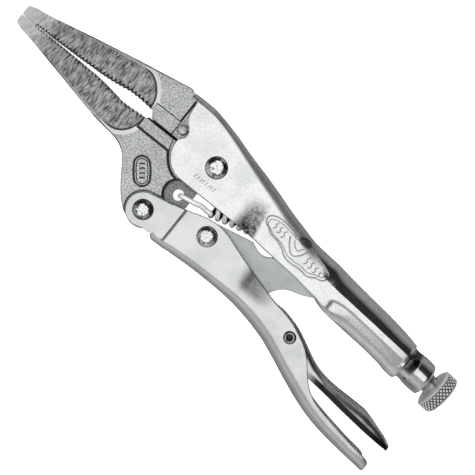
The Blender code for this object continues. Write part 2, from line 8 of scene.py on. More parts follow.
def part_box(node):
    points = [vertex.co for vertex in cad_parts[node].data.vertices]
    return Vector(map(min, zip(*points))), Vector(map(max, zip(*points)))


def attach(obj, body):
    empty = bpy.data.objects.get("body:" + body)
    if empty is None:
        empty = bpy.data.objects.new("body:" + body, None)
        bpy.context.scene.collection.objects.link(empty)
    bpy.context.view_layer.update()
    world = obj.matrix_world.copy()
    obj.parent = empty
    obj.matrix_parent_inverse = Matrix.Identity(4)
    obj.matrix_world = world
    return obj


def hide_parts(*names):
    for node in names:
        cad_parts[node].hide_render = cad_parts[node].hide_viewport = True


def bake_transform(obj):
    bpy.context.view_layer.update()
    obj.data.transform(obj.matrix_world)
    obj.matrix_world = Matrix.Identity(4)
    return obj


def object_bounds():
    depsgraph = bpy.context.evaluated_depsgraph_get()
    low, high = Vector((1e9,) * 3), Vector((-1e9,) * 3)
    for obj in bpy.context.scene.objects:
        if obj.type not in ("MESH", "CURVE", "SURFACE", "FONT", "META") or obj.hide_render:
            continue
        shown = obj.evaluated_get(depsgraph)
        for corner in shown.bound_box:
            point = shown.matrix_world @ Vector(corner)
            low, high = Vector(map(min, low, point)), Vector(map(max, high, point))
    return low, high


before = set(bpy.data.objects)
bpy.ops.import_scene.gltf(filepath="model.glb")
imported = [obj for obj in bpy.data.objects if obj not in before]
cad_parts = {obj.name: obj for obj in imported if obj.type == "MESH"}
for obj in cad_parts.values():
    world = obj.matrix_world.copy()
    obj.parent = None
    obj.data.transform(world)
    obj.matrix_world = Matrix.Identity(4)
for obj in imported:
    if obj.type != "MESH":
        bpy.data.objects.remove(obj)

cad_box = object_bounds()

# ---- Fixed jaw ----
# A steel forging, nickel plated. Its nose is ground flat on both sides up to a round heel, the
# mouth has cut teeth, and its thinned tail sits in the folded upper handle. Sizes are in
# millimetres from the jaw pivot, with X along the closed jaws and the mid-thickness at 0.

MM = 0.001
lowest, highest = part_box("jaw_rivet")
pivot = (lowest + highest) / 2
TO_PLACE = Matrix.Translation(pivot) @ Matrix.Diagonal((MM, MM, MM, 1.0))

JAW_HALF = 7.0
TIP_HALF = 3.0
NOSE_ROOT = -36.0
NOSE_TIP = -99.0
GROUND_DEPTH = 0.5
THIN_HALF = 5.7
RIM = 0.8
LOCATING_PIN = (-19.8, 3.4)


class Reading:
    """A number or colour that changes over a surface. Arithmetic on it adds Math nodes."""

    def __init__(self, socket):
        self.socket = socket
        self.tree = socket.id_data

    def node(self, kind, settings=None, inputs=None, out=0):
        """Adds any node: its settings first, then the values or links of its sockets."""
        made = self.tree.nodes.new(kind)
        for key, value in (settings or {}).items():
            if key == "stops":
                ramp = made.color_ramp
                while len(ramp.elements) < len(value):
                    ramp.elements.new(0.5)
                for stop, (place, shade) in zip(ramp.elements, value):
                    stop.position = place
                    stop.color = (*shade, 1.0) if isinstance(shade, tuple) else (shade, shade, shade, 1.0)
            else:
                setattr(made, key, value)
        for key, value in (inputs or {}).items():
            if isinstance(value, Reading):
                self.tree.links.new(value.socket, made.inputs[key])
            else:
                made.inputs[key].default_value = value
        return Reading(made.outputs[out])

    def maths(self, operation, *values):
        return self.node("ShaderNodeMath", {"operation": operation}, dict(enumerate(values)))

    def __add__(self, other):
        return self.maths("ADD", self, other)

    def __radd__(self, other):
        return self.maths("ADD", other, self)

    def __sub__(self, other):
        return self.maths("SUBTRACT", self, other)

    def __rsub__(self, other):
        return self.maths("SUBTRACT", other, self)

    def __mul__(self, other):
        return self.maths("MULTIPLY", self, other)

    def __rmul__(self, other):
        return self.maths("MULTIPLY", other, self)

    def __abs__(self):
        return self.maths("ABSOLUTE", self)

    def stepped(self, low, high):
        """0 below low, 1 above high, smooth between."""
        ends = {0: self, 1: low, 2: high, 3: 0.0, 4: 1.0}
        return self.node("ShaderNodeMapRange", {"interpolation_type": "SMOOTHSTEP"}, ends)

    def grain(self, size, detail=2.0, rough=0.5, stretch=(1.0, 1.0, 1.0), turn=0.0):
        """Noise on millimetre coordinates, in patches of a size, drawn out along an axis."""
        scaled = self.node(
            "ShaderNodeMapping",
            {"vector_type": "POINT"},
            {"Vector": self, "Rotation": (0.0, 0.0, turn), "Scale": tuple(1.0 / (size * s) for s in stretch)},
        )
        values = {"Vector": scaled, "Scale": 1.0, "Detail": detail, "Roughness": rough}
        return self.node("ShaderNodeTexNoise", {}, values)

    def tinted(self, dark, light):
        """A colour between two, by this number."""
        ends = {0: self, 6: (*dark, 1.0), 7: (*light, 1.0)}
        return self.node("ShaderNodeMix", {"data_type": "RGBA"}, ends, out=2)

    def toward(self, other, share):
        """This colour, changing to another one as a share goes from 0 to 1."""
        return self.node("ShaderNodeMix", {"data_type": "RGBA"}, {0: share, 6: self, 7: other}, out=2)

    def part(self, out):
        """One coordinate as a number: 0 for X, 1 for Y, 2 for Z."""
        return self.node("ShaderNodeSeparateXYZ", {}, {0: self}, out=out)


def metal(name, surface, bump=0.05, metallic=1.0):
    """A metal finish. surface takes millimetre coordinates and gives colour, roughness and relief."""
    material = bpy.data.materials.new(name)
    material.use_nodes = True
    tree = material.node_tree
    shader = tree.nodes["Principled BSDF"]
    shader.inputs["Metallic"].default_value = metallic
    place = Reading(tree.nodes.new("ShaderNodeTexCoord").outputs["Object"])
    place = place.node(
        "ShaderNodeMapping",
        {"vector_type": "TEXTURE"},
        {"Vector": place, "Location": tuple(pivot), "Scale": (MM, MM, MM)},
    )
    colour, rough, height = surface(place)
    raised = height.node("ShaderNodeBump", {}, {"Height": height, "Strength": 1.0, "Distance": bump * MM})
    tree.links.new(colour.socket, shader.inputs["Base Color"])
    tree.links.new(rough.socket, shader.inputs["Roughness"])
    tree.links.new(raised.socket, shader.inputs["Normal"])
    return material


def forged(place):
    """Satin nickel over a blasted forging: fine speckle, with painted shade that deepens into the recess round the
    lug.
    """
    speckle, slow = place.grain(0.7, 3.0, 0.65), place.grain(7.0, 2.0)
    depth = abs(place.part(2))
    # Painted shade by depth: the tone falls off below the faces, is blackest on the recess walls and stays dim on
    # the lug's face.
    lit = depth.stepped(3.6, 6.6) * 0.85 + (1 - depth.stepped(2.05, 2.4)) * 0.40
    tone = (speckle.stepped(0.34, 0.66) * 0.62 + slow.stepped(0.3, 0.7) * 0.15 + 0.37) * lit
    return tone.tinted((0.03, 0.032, 0.034), (0.92, 0.94, 0.95)), 0.42 - speckle * 0.1, speckle * 2.2 + slow


def ground(place):
    """Coarse grinding marks across the nose, lighter towards the tip."""
    marks = place.grain(0.42, 4.0, 0.7, stretch=(1.0, 7.0, 1.0), turn=radians(-6))
    blots = place.grain(2.2, 3.0, 0.6, stretch=(1.0, 2.0, 1.0))
    tip = 1 - place.part(0).stepped(-98.0, -80.0)
    tone = marks.stepped(0.40, 0.62) * 0.62 + blots.stepped(0.35, 0.7) * 0.35 + tip * 0.75
    return tone.tinted((0.03, 0.033, 0.036), (0.92, 0.94, 0.95)), 0.45 - marks * 0.15, marks * 2 + blots


def land_highlight(place):
    """A painted highlight: the narrow land at the heel coloured bright, as a rounded edge catching the light."""
    fine = place.grain(0.7, 2.0, 0.5)
    return fine.tinted((0.84, 0.86, 0.87), (0.97, 0.98, 0.98)), fine * 0.1 + 0.28, fine


forging = metal("forged_nickel", forged, 0.06, metallic=0.78)
grinding = metal("ground_nose", ground, 0.06, metallic=0.85)
highlit_land = metal("land_painted_highlight", land_highlight, 0.02, metallic=0.85)


def painted_shade_surface(place):
    """Painted shade: a near-black finish put on the jaws' sloped steps, recess walls, stamped grooves and heel ramp,
    where shade falls.
    """
    fine = place.grain(0.8, 2.0, 0.5)
    return fine.tinted((0.02, 0.022, 0.024), (0.16, 0.17, 0.18)), fine * 0.2 + 0.45, fine


painted_shade_metal = metal("painted_shade_corner", painted_shade_surface, 0.02, metallic=0.8)


def outline(points, steps=7):
    """A closed line through the given points. A third value makes a point a corner."""
    line, count = [], len(points)
    for i, here in enumerate(points):
        there = points[(i + 1) % count]
        start, end = Vector((*here[:2], 0.0)), Vector((*there[:2], 0.0))
        before, beyond = Vector((*points[i - 1][:2], 0.0)), Vector((*points[(i + 2) % count][:2], 0.0))
        run = end - start
        leave = arrive = run.normalized()
        if len(here) == 2:
            leave = (leave + (start - before).normalized()).normalized()
        if len(there) == 2:
            arrive = (run.normalized() + (beyond - end).normalized()).normalized()
        straight = len(here) > 2 and len(there) > 2
        reach = run.length / 2.56
        line += geometry.interpolate_bezier(
            start, start + leave * reach, end - arrive * reach, end, 2 if straight else steps + 1
        )[:-1]
    return [p for i, p in enumerate(line) if (p - line[i - 1]).length > 0.02]


def arc(centre, radius, first, last, count):
    """Corner points on an arc, from one angle to another in degrees."""
    turn = [radians(first + (last - first) * i / (count - 1)) for i in range(count)]
    return [(centre[0] + radius * cos(a), centre[1] + radius * sin(a), 1) for a in turn]


def prism(points, levels, steps=7):
    """A face of an outline, drawn up through levels. Returns the mesh and the ring of points at each."""
    bm = bmesh.new()
    corners = [bm.verts.new((p.x, p.y, levels[0])) for p in outline(points, steps)]
    edges = [bm.edges.new(pair) for pair in zip(corners, corners[1:] + corners[:1])]
    cap = bmesh.ops.contextual_create(bm, geom=edges)["faces"][0]
    rings = [list(cap.verts)]
    for level in levels[1:]:
        lifted = bmesh.ops.extrude_face_region(bm, geom=[cap])["geom"]
        if len(rings) > 1:
            bmesh.ops.delete(bm, geom=[cap], context="FACES_ONLY")
        rings.append([v for v in lifted if isinstance(v, bmesh.types.BMVert)])
        cap = next(f for f in lifted if isinstance(f, bmesh.types.BMFace))
        for vert in rings[-1]:
            vert.co.z = level
    bmesh.ops.recalc_face_normals(bm, faces=bm.faces)
    return bm, rings


def flared(points, floor, widening, above=0.1, top=12.0):
    """A cutter for both sides of a jaw. Its walls lean out from the floor that it leaves to the jaw's face."""
    steps = ((floor, 0.0), (JAW_HALF + above, widening), (top, widening))
    line = outline(points)
    turning = sum(a.x * b.y - b.x * a.y for a, b in zip(line, line[1:] + line[:1]))
    outward = {}
    for i, here in enumerate(line):
        way = (line[(i + 1) % len(line)] - line[i - 1]).normalized()
        outward[round(here.x, 3), round(here.y, 3)] = Vector((way.y, -way.x, 0.0)) * (1 if turning > 0 else -1)
    bm, rings = prism(points, range(len(steps)))
    for ring, (up, out) in zip(rings, steps):
        for vert in ring:
            vert.co += outward[round(vert.co.x, 3), round(vert.co.y, 3)] * out
            vert.co.z = up
    bmesh.ops.recalc_face_normals(bm, faces=bm.faces)
    return both_sides(bm)


def slab(points, low, high, rim=0.0, rounded=None, steps=7, segments=5):
    """A flat blank of an outline, with the rims rounded where rounded says so."""
    bm, _ = prism(points, (low, high), steps)
    if rim:
        edges = []
        for edge in bm.edges:
            steep = sorted(abs(f.normal.z) for f in edge.link_faces)
            middle = (edge.verts[0].co + edge.verts[1].co) / 2
            if steep[0] < 0.3 and steep[1] > 0.9 and (rounded is None or rounded(middle)):
                edges.append(edge)
        bmesh.ops.bevel(
            bm, geom=edges, offset=rim, offset_type="OFFSET", segments=segments, profile=0.5,
            affect="EDGES", clamp_overlap=False, material=-1,
        )
    return bm


def both_sides(bm):
    """Adds the mirror image of a mesh across the mid-thickness."""
    twin = bmesh.ops.duplicate(bm, geom=bm.verts[:] + bm.edges[:] + bm.faces[:])["geom"]
    bmesh.ops.scale(bm, vec=(1.0, 1.0, -1.0), verts=[v for v in twin if isinstance(v, bmesh.types.BMVert)])
    bmesh.ops.reverse_faces(bm, faces=[f for f in twin if isinstance(f, bmesh.types.BMFace)])
    return bm


def carved(bm, tools, operation="DIFFERENCE", solver="EXACT"):
    """The mesh with each tool cut from it, or joined to it."""
    made = []
    for part in [bm] + tools:
        mesh = bpy.data.meshes.new("blank")
        part.to_mesh(mesh)
        part.free()
        made.append(bpy.data.objects.new("blank", mesh))
        bpy.context.scene.collection.objects.link(made[-1])
    for tool in made[1:]:
        modifier = made[0].modifiers.new("cut", "BOOLEAN")
        modifier.operation = operation
        modifier.solver = solver
        modifier.object = tool
    seen = made[0].evaluated_get(bpy.context.evaluated_depsgraph_get())
    mesh = bpy.data.meshes.new_from_object(seen)
    cut = bmesh.new()
    cut.from_mesh(mesh)
    for obj in made:
        bpy.data.objects.remove(obj)
    bmesh.ops.remove_doubles(cut, verts=cut.verts, dist=0.002)
    return cut


def spun(points, centre, axis, steps):
    """A closed piece turned about any axis, from the points of its half section."""
    bm = bmesh.new()
    line = [bm.verts.new(point) for point in points]
    edges = [bm.edges.new(pair) for pair in zip(line, line[1:])]
    bmesh.ops.spin(bm, geom=line + edges, cent=centre, axis=axis, angle=2 * pi, steps=steps, use_merge=True)
    bmesh.ops.remove_doubles(bm, verts=bm.verts, dist=0.0005)
    bmesh.ops.recalc_face_normals(bm, faces=bm.faces)
    return bm


def turned(profile, centre, steps=64):
    """A piece turned about an axis through the thickness, from (radius, height) points."""
    points = [(centre[0] + radius, centre[1], height) for radius, height in profile]
    return spun(points, (*centre, 0.0), (0.0, 0.0, 1.0), steps)


def drill(centre, radius, reach=15.0):
    """Cutter for a round hole through the whole tool."""
    return turned([(0.0, -reach), (radius, -reach), (radius, reach), (0.0, reach)], centre, 48)


def placed(bm, name, finish, sharp=0.0):
    """Makes an object of a finished mesh, at its place in metres, with edges left sharp past an angle."""
    bmesh.ops.transform(bm, matrix=TO_PLACE, verts=bm.verts)
    for face in bm.faces:
        face.smooth = True
    for edge in bm.edges if sharp else ():
        edge.smooth = len(edge.link_faces) == 2 and edge.calc_face_angle(0.0) < radians(sharp)
    mesh = bpy.data.meshes.new(name)
    bm.to_mesh(mesh)
    bm.free()
    obj = bpy.data.objects.new(name, mesh)
    bpy.context.scene.collection.objects.link(obj)
    mesh.materials.append(finish)
    return obj


def piece(bm, name, body, node, finish, sharp=28.0):
    """A stiff piece: it rides on one body and takes the place of a solid."""
    obj = placed(bm, name, finish, sharp)
    even = obj.modifiers.new("even_shading", "WEIGHTED_NORMAL")
    even.keep_sharp = True
    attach(obj, body)
    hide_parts(node)
    return obj


def tapered(bm):
    """Thins a jaw in a straight taper from the nose's root to its tip."""
    whole = bm.verts[:] + bm.edges[:] + bm.faces[:]
    bmesh.ops.bisect_plane(bm, geom=whole, plane_co=(NOSE_ROOT, 0, 0), plane_no=(1, 0, 0))
    for vert in bm.verts:
        reach = (NOSE_ROOT - vert.co.x) / (NOSE_ROOT - NOSE_TIP)
        if reach > 0:
            vert.co.z *= 1 - reach * (1 - TIP_HALF / JAW_HALF)
    return bm


TAPER = (JAW_HALF - TIP_HALF) / (NOSE_ROOT - NOSE_TIP)
HEEL_CENTRE = Vector((-47.0, 0.0, 0.0))
HEEL_RAMP, LAND = 0.8, 2.5


def smooth(value, low, high):
    """0 below low, 1 above high, smooth between."""
    t = min(1.0, max(0.0, (value - low) / (high - low)))
    return t * t * (3 - 2 * t)


def grinding_wheel(edge, heel):
    """Cutter that grinds a nose flat on both sides, up to a step and a narrow bright land at the heel."""
    points = [(-108, edge[0][1], 1), (-108, heel[-1][1], 1)] + heel[::-1] + edge[::-1]
    steps = ((0.0, 0.0), (GROUND_DEPTH - 0.06, HEEL_RAMP), (GROUND_DEPTH - 0.05, LAND), (GROUND_DEPTH + 4.0, LAND))
    bm, rings = prism(points, range(len(steps)))
    for ring, (up, out) in zip(rings, steps):
        for vert in ring:
            vert.co.z = JAW_HALF - GROUND_DEPTH - TAPER * (NOSE_ROOT - vert.co.x) + up
            outward = (Vector((vert.co.x, vert.co.y, 0.0)) - HEEL_CENTRE).normalized()
            vert.co += outward * out * smooth(vert.co.x, -49.0, -42.0)
    bmesh.ops.recalc_face_normals(bm, faces=bm.faces)
    return both_sides(bm)


def file_teeth(line, side, close, pitch=1.75):
    """Cutter for a serrated mouth: teeth stand between the tip line and a line one tooth deeper."""
    def height(x):
        for (x0, y0), (x1, y1) in zip(line, line[1:]):
            if x <= x1:
                return y0 + (y1 - y0) * (x - x0) / (x1 - x0)
        return line[-1][1]

    first = line[0][0]
    x, saw = first, []
    while x < NOSE_ROOT - 0.4:
        wide = pitch * (0.8 + 0.35 * (x - first) / 56.0)
        saw += [(x, height(x) - side * 0.1 * wide, 1), (x + wide * 0.5, height(x) + side * 0.68 * wide, 1)]
        x += wide
    return slab([(first, -0.4 - side * 6.0, 1)] + saw + close, -12.0, 12.0)


BADGE = (Vector((-23.9, -17.1, JAW_HALF)), Vector((-20.4, -21.4, JAW_HALF)))
BADGE_MIDDLE = (BADGE[0] + BADGE[1]) / 2


def split_finish(obj):
    """Gives the ground faces, the land's painted highlight and the painted shade of the sloped steps, recesses,
    stamps and heel of a jaw their own finishes.
    """
    for finish in (grinding, highlit_land, painted_shade_metal):
        obj.data.materials.append(finish)
    for face in obj.data.polygons:
        x, y, z = (face.center - pivot) / MM
        facing = abs(face.normal.z)
        below = JAW_HALF - TAPER * max(0.0, NOSE_ROOT - x) - abs(z)
        corner = -35.0 < x < -8.0 and -13.6 < y < 15.0 and 0.3 < facing < 0.97 and abs(z) > 5.0
        recess = -13.0 < x < -2.0 and -24.5 < y < -9.0 and facing < 0.3 and 2.1 < abs(z) < 6.9
        stamped = max(abs(x - BADGE_MIDDLE.x), abs(y - BADGE_MIDDLE.y)) < 5.5 and 0.01 < below < 0.7
        heel = -52.0 < x < -34.0 and 0.3 < facing < 0.95 and 0.07 < below < 0.48
        # Sloped steps, recess walls, stamped grooves and the heel ramp get the near-black painted shade.
        if corner or recess or stamped or heel:
            face.material_index = 3
        elif x < NOSE_ROOT + 1.0 and facing > 0.95 and below > 0.35:
            face.material_index = 1
        # The narrow land beside the ground face gets the painted highlight.
        elif x < NOSE_ROOT + 3.0 and facing > 0.95 and 0.01 < below < 0.35:
            face.material_index = 2


blank = [
    (-98.9, -0.25, 1), (-98.95, 2.4), (-98.7, 3.8), (-97.6, 4.4), (-90, 5.85), (-80, 8.0), (-70, 10.15),
    (-60, 12.2), (-50, 14.2), (-40, 16.0), (-32.0, 17.6), (-27.6, 18.4), (-26.2, 18.3), (-25.0, 17.2),
    (-24.9, 15.6, 1), (-16.0, 15.5), (-10.0, 14.5), (-6.0, 13.5, 1), *arc((0, 0), 10.25, 126, 183.5, 14),
    (-20.8, -0.6, 1), (-33.5, -0.6, 1), (-34.5, -0.25, 1),
]
jaw = tapered(slab(blank, -JAW_HALF, JAW_HALF, RIM, lambda p: p.y > 4.0 and p.x < -25.2))
jaw = carved(jaw, [
    grinding_wheel(
        [(-80, 8.4), (-70, 9.3), (-60, 11.0), (-50, 12.6)],
        [(-44.5, 12.9), (-41.0, 11.5), (-38.3, 9.2), (-36.4, 6.2), (-35.6, 3.0), (-35.4, -1.0, 1), (-35.4, -4.0, 1)],
    ),
    file_teeth(
        [
            (-92.0, -0.25), (-85, -0.15), (-80, 0.1), (-70, 0.5), (-60, 1.0), (-55, 1.5), (-50, 2.3), (-47, 2.9),
            (-42, 2.9), (-36, 2.5),
        ],
        1, [(-35.2, 2.5), (-34.2, 2.0), (-33.2, 0.7), (-32.5, -0.6, 1), (-32.2, -6.4, 1)],
    ),
    flared([(-22.2, 24.0, 1), (-22.2, -5.0, 1), (8.0, -5.0, 1), (8.0, 24.0, 1)], THIN_HALF, 1.2),
    flared([(-34.2, 5.1, 1), (-34.6, -3.5, 1), (-12.0, -3.5, 1), (-12.0, 5.4, 1)], JAW_HALF - 0.7, 0.45, 0.05),
    drill(LOCATING_PIN, 2.2),
])
split_finish(piece(jaw, "fixed_jaw_forging", "body", "fixed_jaw", forging))

# ---- Lower jaw ----
# The moving forging: nose and wire cutter like the fixed jaw's, a hub between the walls of the
# upper handle, an arm down to the lower handle, and a thin lug that the spring hooks into.

HANDLE_PIVOT = (-12.3, -30.8)
SPRING_HOLE = (-5.6, -17.7)
RIVET_HOLE = 3.5
LUG_HALF = 2.0
TONGUE_HALF = 5.2
px, py = HANDLE_PIVOT
blank = [
    (-98.9, -0.55, 1), (-84.0, -0.55, 1), (-34.9, -0.55, 1), (-34.9, -0.75, 1), (-9.9, -0.75, 1),
    *arc((0, 0), 9.9, 186, -82, 50), (-0.2, -11.2, 1), (-0.2, -22.3, 1), (-2.2, -24.6), (-4.6, -27.6),
    (px + 7.4, py), (px + 5.2, py - 5.2), (px, py - 7.4), (-16.9, -36.65), (-19.7, -34.9), (-24.7, -29.9),
    (-28.3, -25.0), (-32.0, -19.9), (-34.2, -17.8), (-37.0, -16.3), (-40.5, -15.5), (-45.0, -15.05),
    (-50, -14.4), (-60, -12.45), (-70, -10.3), (-80, -8.25), (-90, -6.25), (-97.6, -4.7), (-98.7, -4.0),
    (-98.95, -2.4),
]


def cutting_edge():
    """Cutter that leaves a wire cutter's wedge along the top of the jaw."""
    bm, rings = prism([(-34.8, -0.75, 1), (-34.8, 6.0, 1), (-6.0, 6.0, 1), (-6.0, -0.75, 1)], (0.25, 7.6))
    for vert in rings[1]:
        if vert.co.y < 0:
            vert.co.y = -2.15
    return both_sides(bm)


jaw = tapered(slab(blank, -JAW_HALF, JAW_HALF, RIM, lambda p: p.y < -4.0 and p.x < -17.8))
channel_zone = [
    (-21.4, 6.0, 1), (-20.8, -0.4), (-20.1, -2.6), (-19.1, -5.6), (-17.3, -8.4), (-14.8, -10.9),
    (-11.8, -12.5), (-9.4, -12.9, 1), (20.0, -12.9, 1), (20.0, 14.0, 1), (-21.4, 14.0, 1),
]
lug_zone = [
    (6.0, -10.2, 1), (-2.0, -10.3, 1), (-7.2, -11.9), *arc(SPRING_HOLE, 5.7, 125, 245, 14),
    (-5.0, -23.9, 1), (6.0, -24.5, 1),
]
tongue_zone = arc(HANDLE_PIVOT, 7.5, 98, 268, 24)
tongue_zone += [(px, -43.0, 1), (8.0, -43.0, 1), (8.0, -20.8, 1), (-4.0, -21.4, 1), (-8.5, -22.4, 1)]
jaw = carved(jaw, [
    grinding_wheel(
        [(-90, -6.8), (-75, -8.6), (-60, -11.4), (-50, -12.9)],
        [
            (-44.5, -13.1), (-40.5, -12.2), (-37.6, -9.9), (-35.8, -6.6), (-35.2, -3.5), (-35.2, 0.5, 1),
            (-35.2, 4.0, 1),
        ],
    ),
    file_teeth(
        [
            (-92.0, -0.55), (-85, -0.6), (-80, -0.65), (-70, -0.8), (-60, -1.0), (-55, -1.4), (-50, -2.1),
            (-46, -2.7), (-42, -2.5), (-36, -2.0),
        ],
        -1, [(-35.4, -2.0, 1), (-34.0, -2.0, 1), (-34.0, 5.6, 1)],
    ),
    flared(channel_zone, THIN_HALF, 1.1),
    flared(lug_zone, LUG_HALF, 0.7, top=12.05),
    flared(tongue_zone, TONGUE_HALF, 0.5, top=12.1),
    flared(
        [(-34.4, -6.1, 1), (-34.4, 3.0, 1), (-14.0, 3.0, 1), (-14.0, -6.1, 1)],
        JAW_HALF - 0.8, 1.3, 0.05, top=12.2,
    ),
    cutting_edge(),
    drill((0.0, 0.0), RIVET_HOLE), drill(HANDLE_PIVOT, RIVET_HOLE), drill(SPRING_HOLE, 2.35),
])


def wire(points, radius, closed=False):
    """A round bead along a smooth line through points."""
    data = bpy.data.curves.new("wire", "CURVE")
    data.dimensions = "3D"
    data.bevel_depth = radius
    data.bevel_resolution = 3
    data.resolution_u = 3
    data.use_fill_caps = True
    spline = data.splines.new("BEZIER")
    spline.use_cyclic_u = closed
    spline.bezier_points.add(len(points) - 1)
    for point, knot in zip(points, spline.bezier_points):
        knot.co = point
        knot.handle_left_type = knot.handle_right_type = "AUTO"
    guide = bpy.data.objects.new("wire", data)
    bpy.context.scene.collection.objects.link(guide)
    mesh = bpy.data.meshes.new_from_object(guide.evaluated_get(bpy.context.evaluated_depsgraph_get()))
    bpy.data.objects.remove(guide)
    bm = bmesh.new()
    bm.from_mesh(mesh)
    bmesh.ops.remove_doubles(bm, verts=bm.verts, dist=0.001)
    bmesh.ops.recalc_face_normals(bm, faces=bm.faces)
    return bm


def stadium(first, second, radius):
    """A long ring with round ends about two points of the jaw's face."""
    turn = degrees(atan2(second[1] - first[1], second[0] - first[0]))
    ring = arc(second, radius, turn - 90, turn + 90, 9) + arc(first, radius, turn + 90, turn + 270, 9)
    return [Vector((x, y, JAW_HALF)) for x, y, _ in ring]


marks = [wire(stadium(*BADGE, 3.2), 0.45, True), wire(stadium(*BADGE, 2.2), 0.22, True)]
stroke = [Vector(step) for step in ((-0.9, -0.7, 0.0), (0.1, 0.35, 0.0), (0.9, 0.75, 0.0))]
for share in (0.0, 0.33, 0.67, 1.0):
    marks.append(wire([BADGE[0].lerp(BADGE[1], share) + step for step in stroke], 0.32))
jaw = carved(jaw, [both_sides(mark) for mark in marks], solver="MANIFOLD")
split_finish(piece(jaw, "lower_jaw_forging", "jaw", "lower_jaw", forging))

# ---- Upper handle ----
# One nickel plated steel sheet, folded round the jaws at the front and rolled to a neck round
# the adjusting screw at the back, with dimples pressed in its walls and a panel in its sides.


def plated(place):
    """Bright nickel on rolled sheet, with blotched painted shade in the hollow pressed behind the jaw, in the neck's
    groove and in an oval at the emblem's top.
    """
    peel, wave = place.grain(0.9, 3.0, 0.65), place.grain(14.0, 1.0)
    smudge, blot = place.grain(9.0, 2.0, 0.5), place.grain(1.5, 3.0, 0.6)
    tone = smudge.stepped(0.3, 0.7) * 0.5 + peel.stepped(0.35, 0.6) * 0.5
    along, up = place.part(0), place.part(1)
    # The share below is painted shade: blotched in the pressed hollow and darker towards its bottom, in the neck's
    # groove and in an oval at the emblem's top.
    hollow = along.stepped(16.0, 22.5) * (1 - (along + up * 0.17).stepped(25.4, 27.4)) * (1 - up.stepped(-4.5, 3.0))
    shade_share = hollow * (blot.stepped(0.35, 0.62) * 0.38 + (1 - up.stepped(-11.0, -6.0)) * 0.22 + 0.42)
    corner = along.stepped(106.4, 107.6) * (1 - along.stepped(109.6, 111.2)) * up.stepped(-17.0, -14.5) * 0.9
    brushed = (up + along * 0.33).stepped(11.0, 13.0) * (1 - along.stepped(48.0, 60.0))
    wide, tall = (along - 45.7) * 0.29, (up + 0.9) * 0.52
    crest = (1 - (wide * wide + tall * tall).stepped(0.6, 1.0)) * 0.72
    shade_share = shade_share.maths("MAXIMUM", shade_share, shade_share.maths("MAXIMUM", corner, crest))
    colour = tone.tinted((0.70, 0.72, 0.73), (0.95, 0.96, 0.97)).toward((0.02, 0.022, 0.025, 1.0), shade_share)
    return colour, peel * 0.08 + 0.10 + brushed * 0.36, peel * 0.40 + wave * 4.0


def satin(place):
    """Smoother nickel on the lower handle and the lever: a soft satin with slow shading."""
    fine, slow = place.grain(0.6, 2.0, 0.5), place.grain(11.0, 2.0)
    tone = fine.stepped(0.3, 0.7) * 0.35 + slow.stepped(0.3, 0.7) * 0.65
    return tone.tinted((0.72, 0.74, 0.75), (0.92, 0.93, 0.94)), fine * 0.06 + 0.24, fine * 0.3 + slow * 5.0


sheet_nickel = metal("plated_sheet", plated, 0.05)

NECK_CENTRE = Vector((113.0, -13.2, 0.0))
AXIS_TILT = radians(-4.57)
SHEET = 2.0


def between(table, x):
    """The row of a table at x, on smooth curves through its rows."""
    last = len(table) - 1
    i = max(j for j in range(last) if j == 0 or table[j][0] <= x)
    a, b = table[i], table[i + 1]
    t = min(1.0, max(0.0, (x - a[0]) / (b[0] - a[0])))
    row = []
    for k in range(1, len(a)):
        slopes = []
        for j in (i, i + 1):
            left, right = table[max(0, j - 1)], table[min(last, j + 1)]
            into = (table[j][k] - left[k]) / (table[j][0] - left[0]) if j else None
            onto = (right[k] - table[j][k]) / (right[0] - table[j][0]) if j < last else None
            if into is None or onto is None:
                slopes.append(onto if into is None else into)
            else:
                slopes.append(2 * into * onto / (into + onto) if into * onto > 0 else 0.0)
        rise = b[0] - a[0]
        row.append(
            a[k] * (1 + 2 * t) * (1 - t) ** 2 + b[k] * t * t * (3 - 2 * t)
            + rise * (slopes[0] * t * (1 - t) ** 2 - slopes[1] * t * t * (1 - t))
        )
    return row


def on_section(row, share, parts=(0.07, 0.40, 0.86)):
    """The (y, z) of a folded section: web, bend, wall, then an edge that curls in."""
    web, edge, half, bend, roll, curl = row
    side = 1.0 if web > edge else -1.0
    curl = radians(curl)
    flat, bent, wall = parts
    if share < flat:
        return web, (half - bend) * share / flat
    if share < bent:
        a = pi / 2 * (share - flat) / (bent - flat)
        return web - side * bend * (1 - cos(a)), half - bend + bend * sin(a)
    top, bottom = web - side * bend, edge + side * roll * sin(curl)
    if share < wall:
        return top + (bottom - top) * (share - bent) / (wall - bent), half
    b = curl * (share - wall) / (1 - wall)
    return edge + side * roll * (sin(curl) - sin(b)), half - roll * (1 - cos(b))


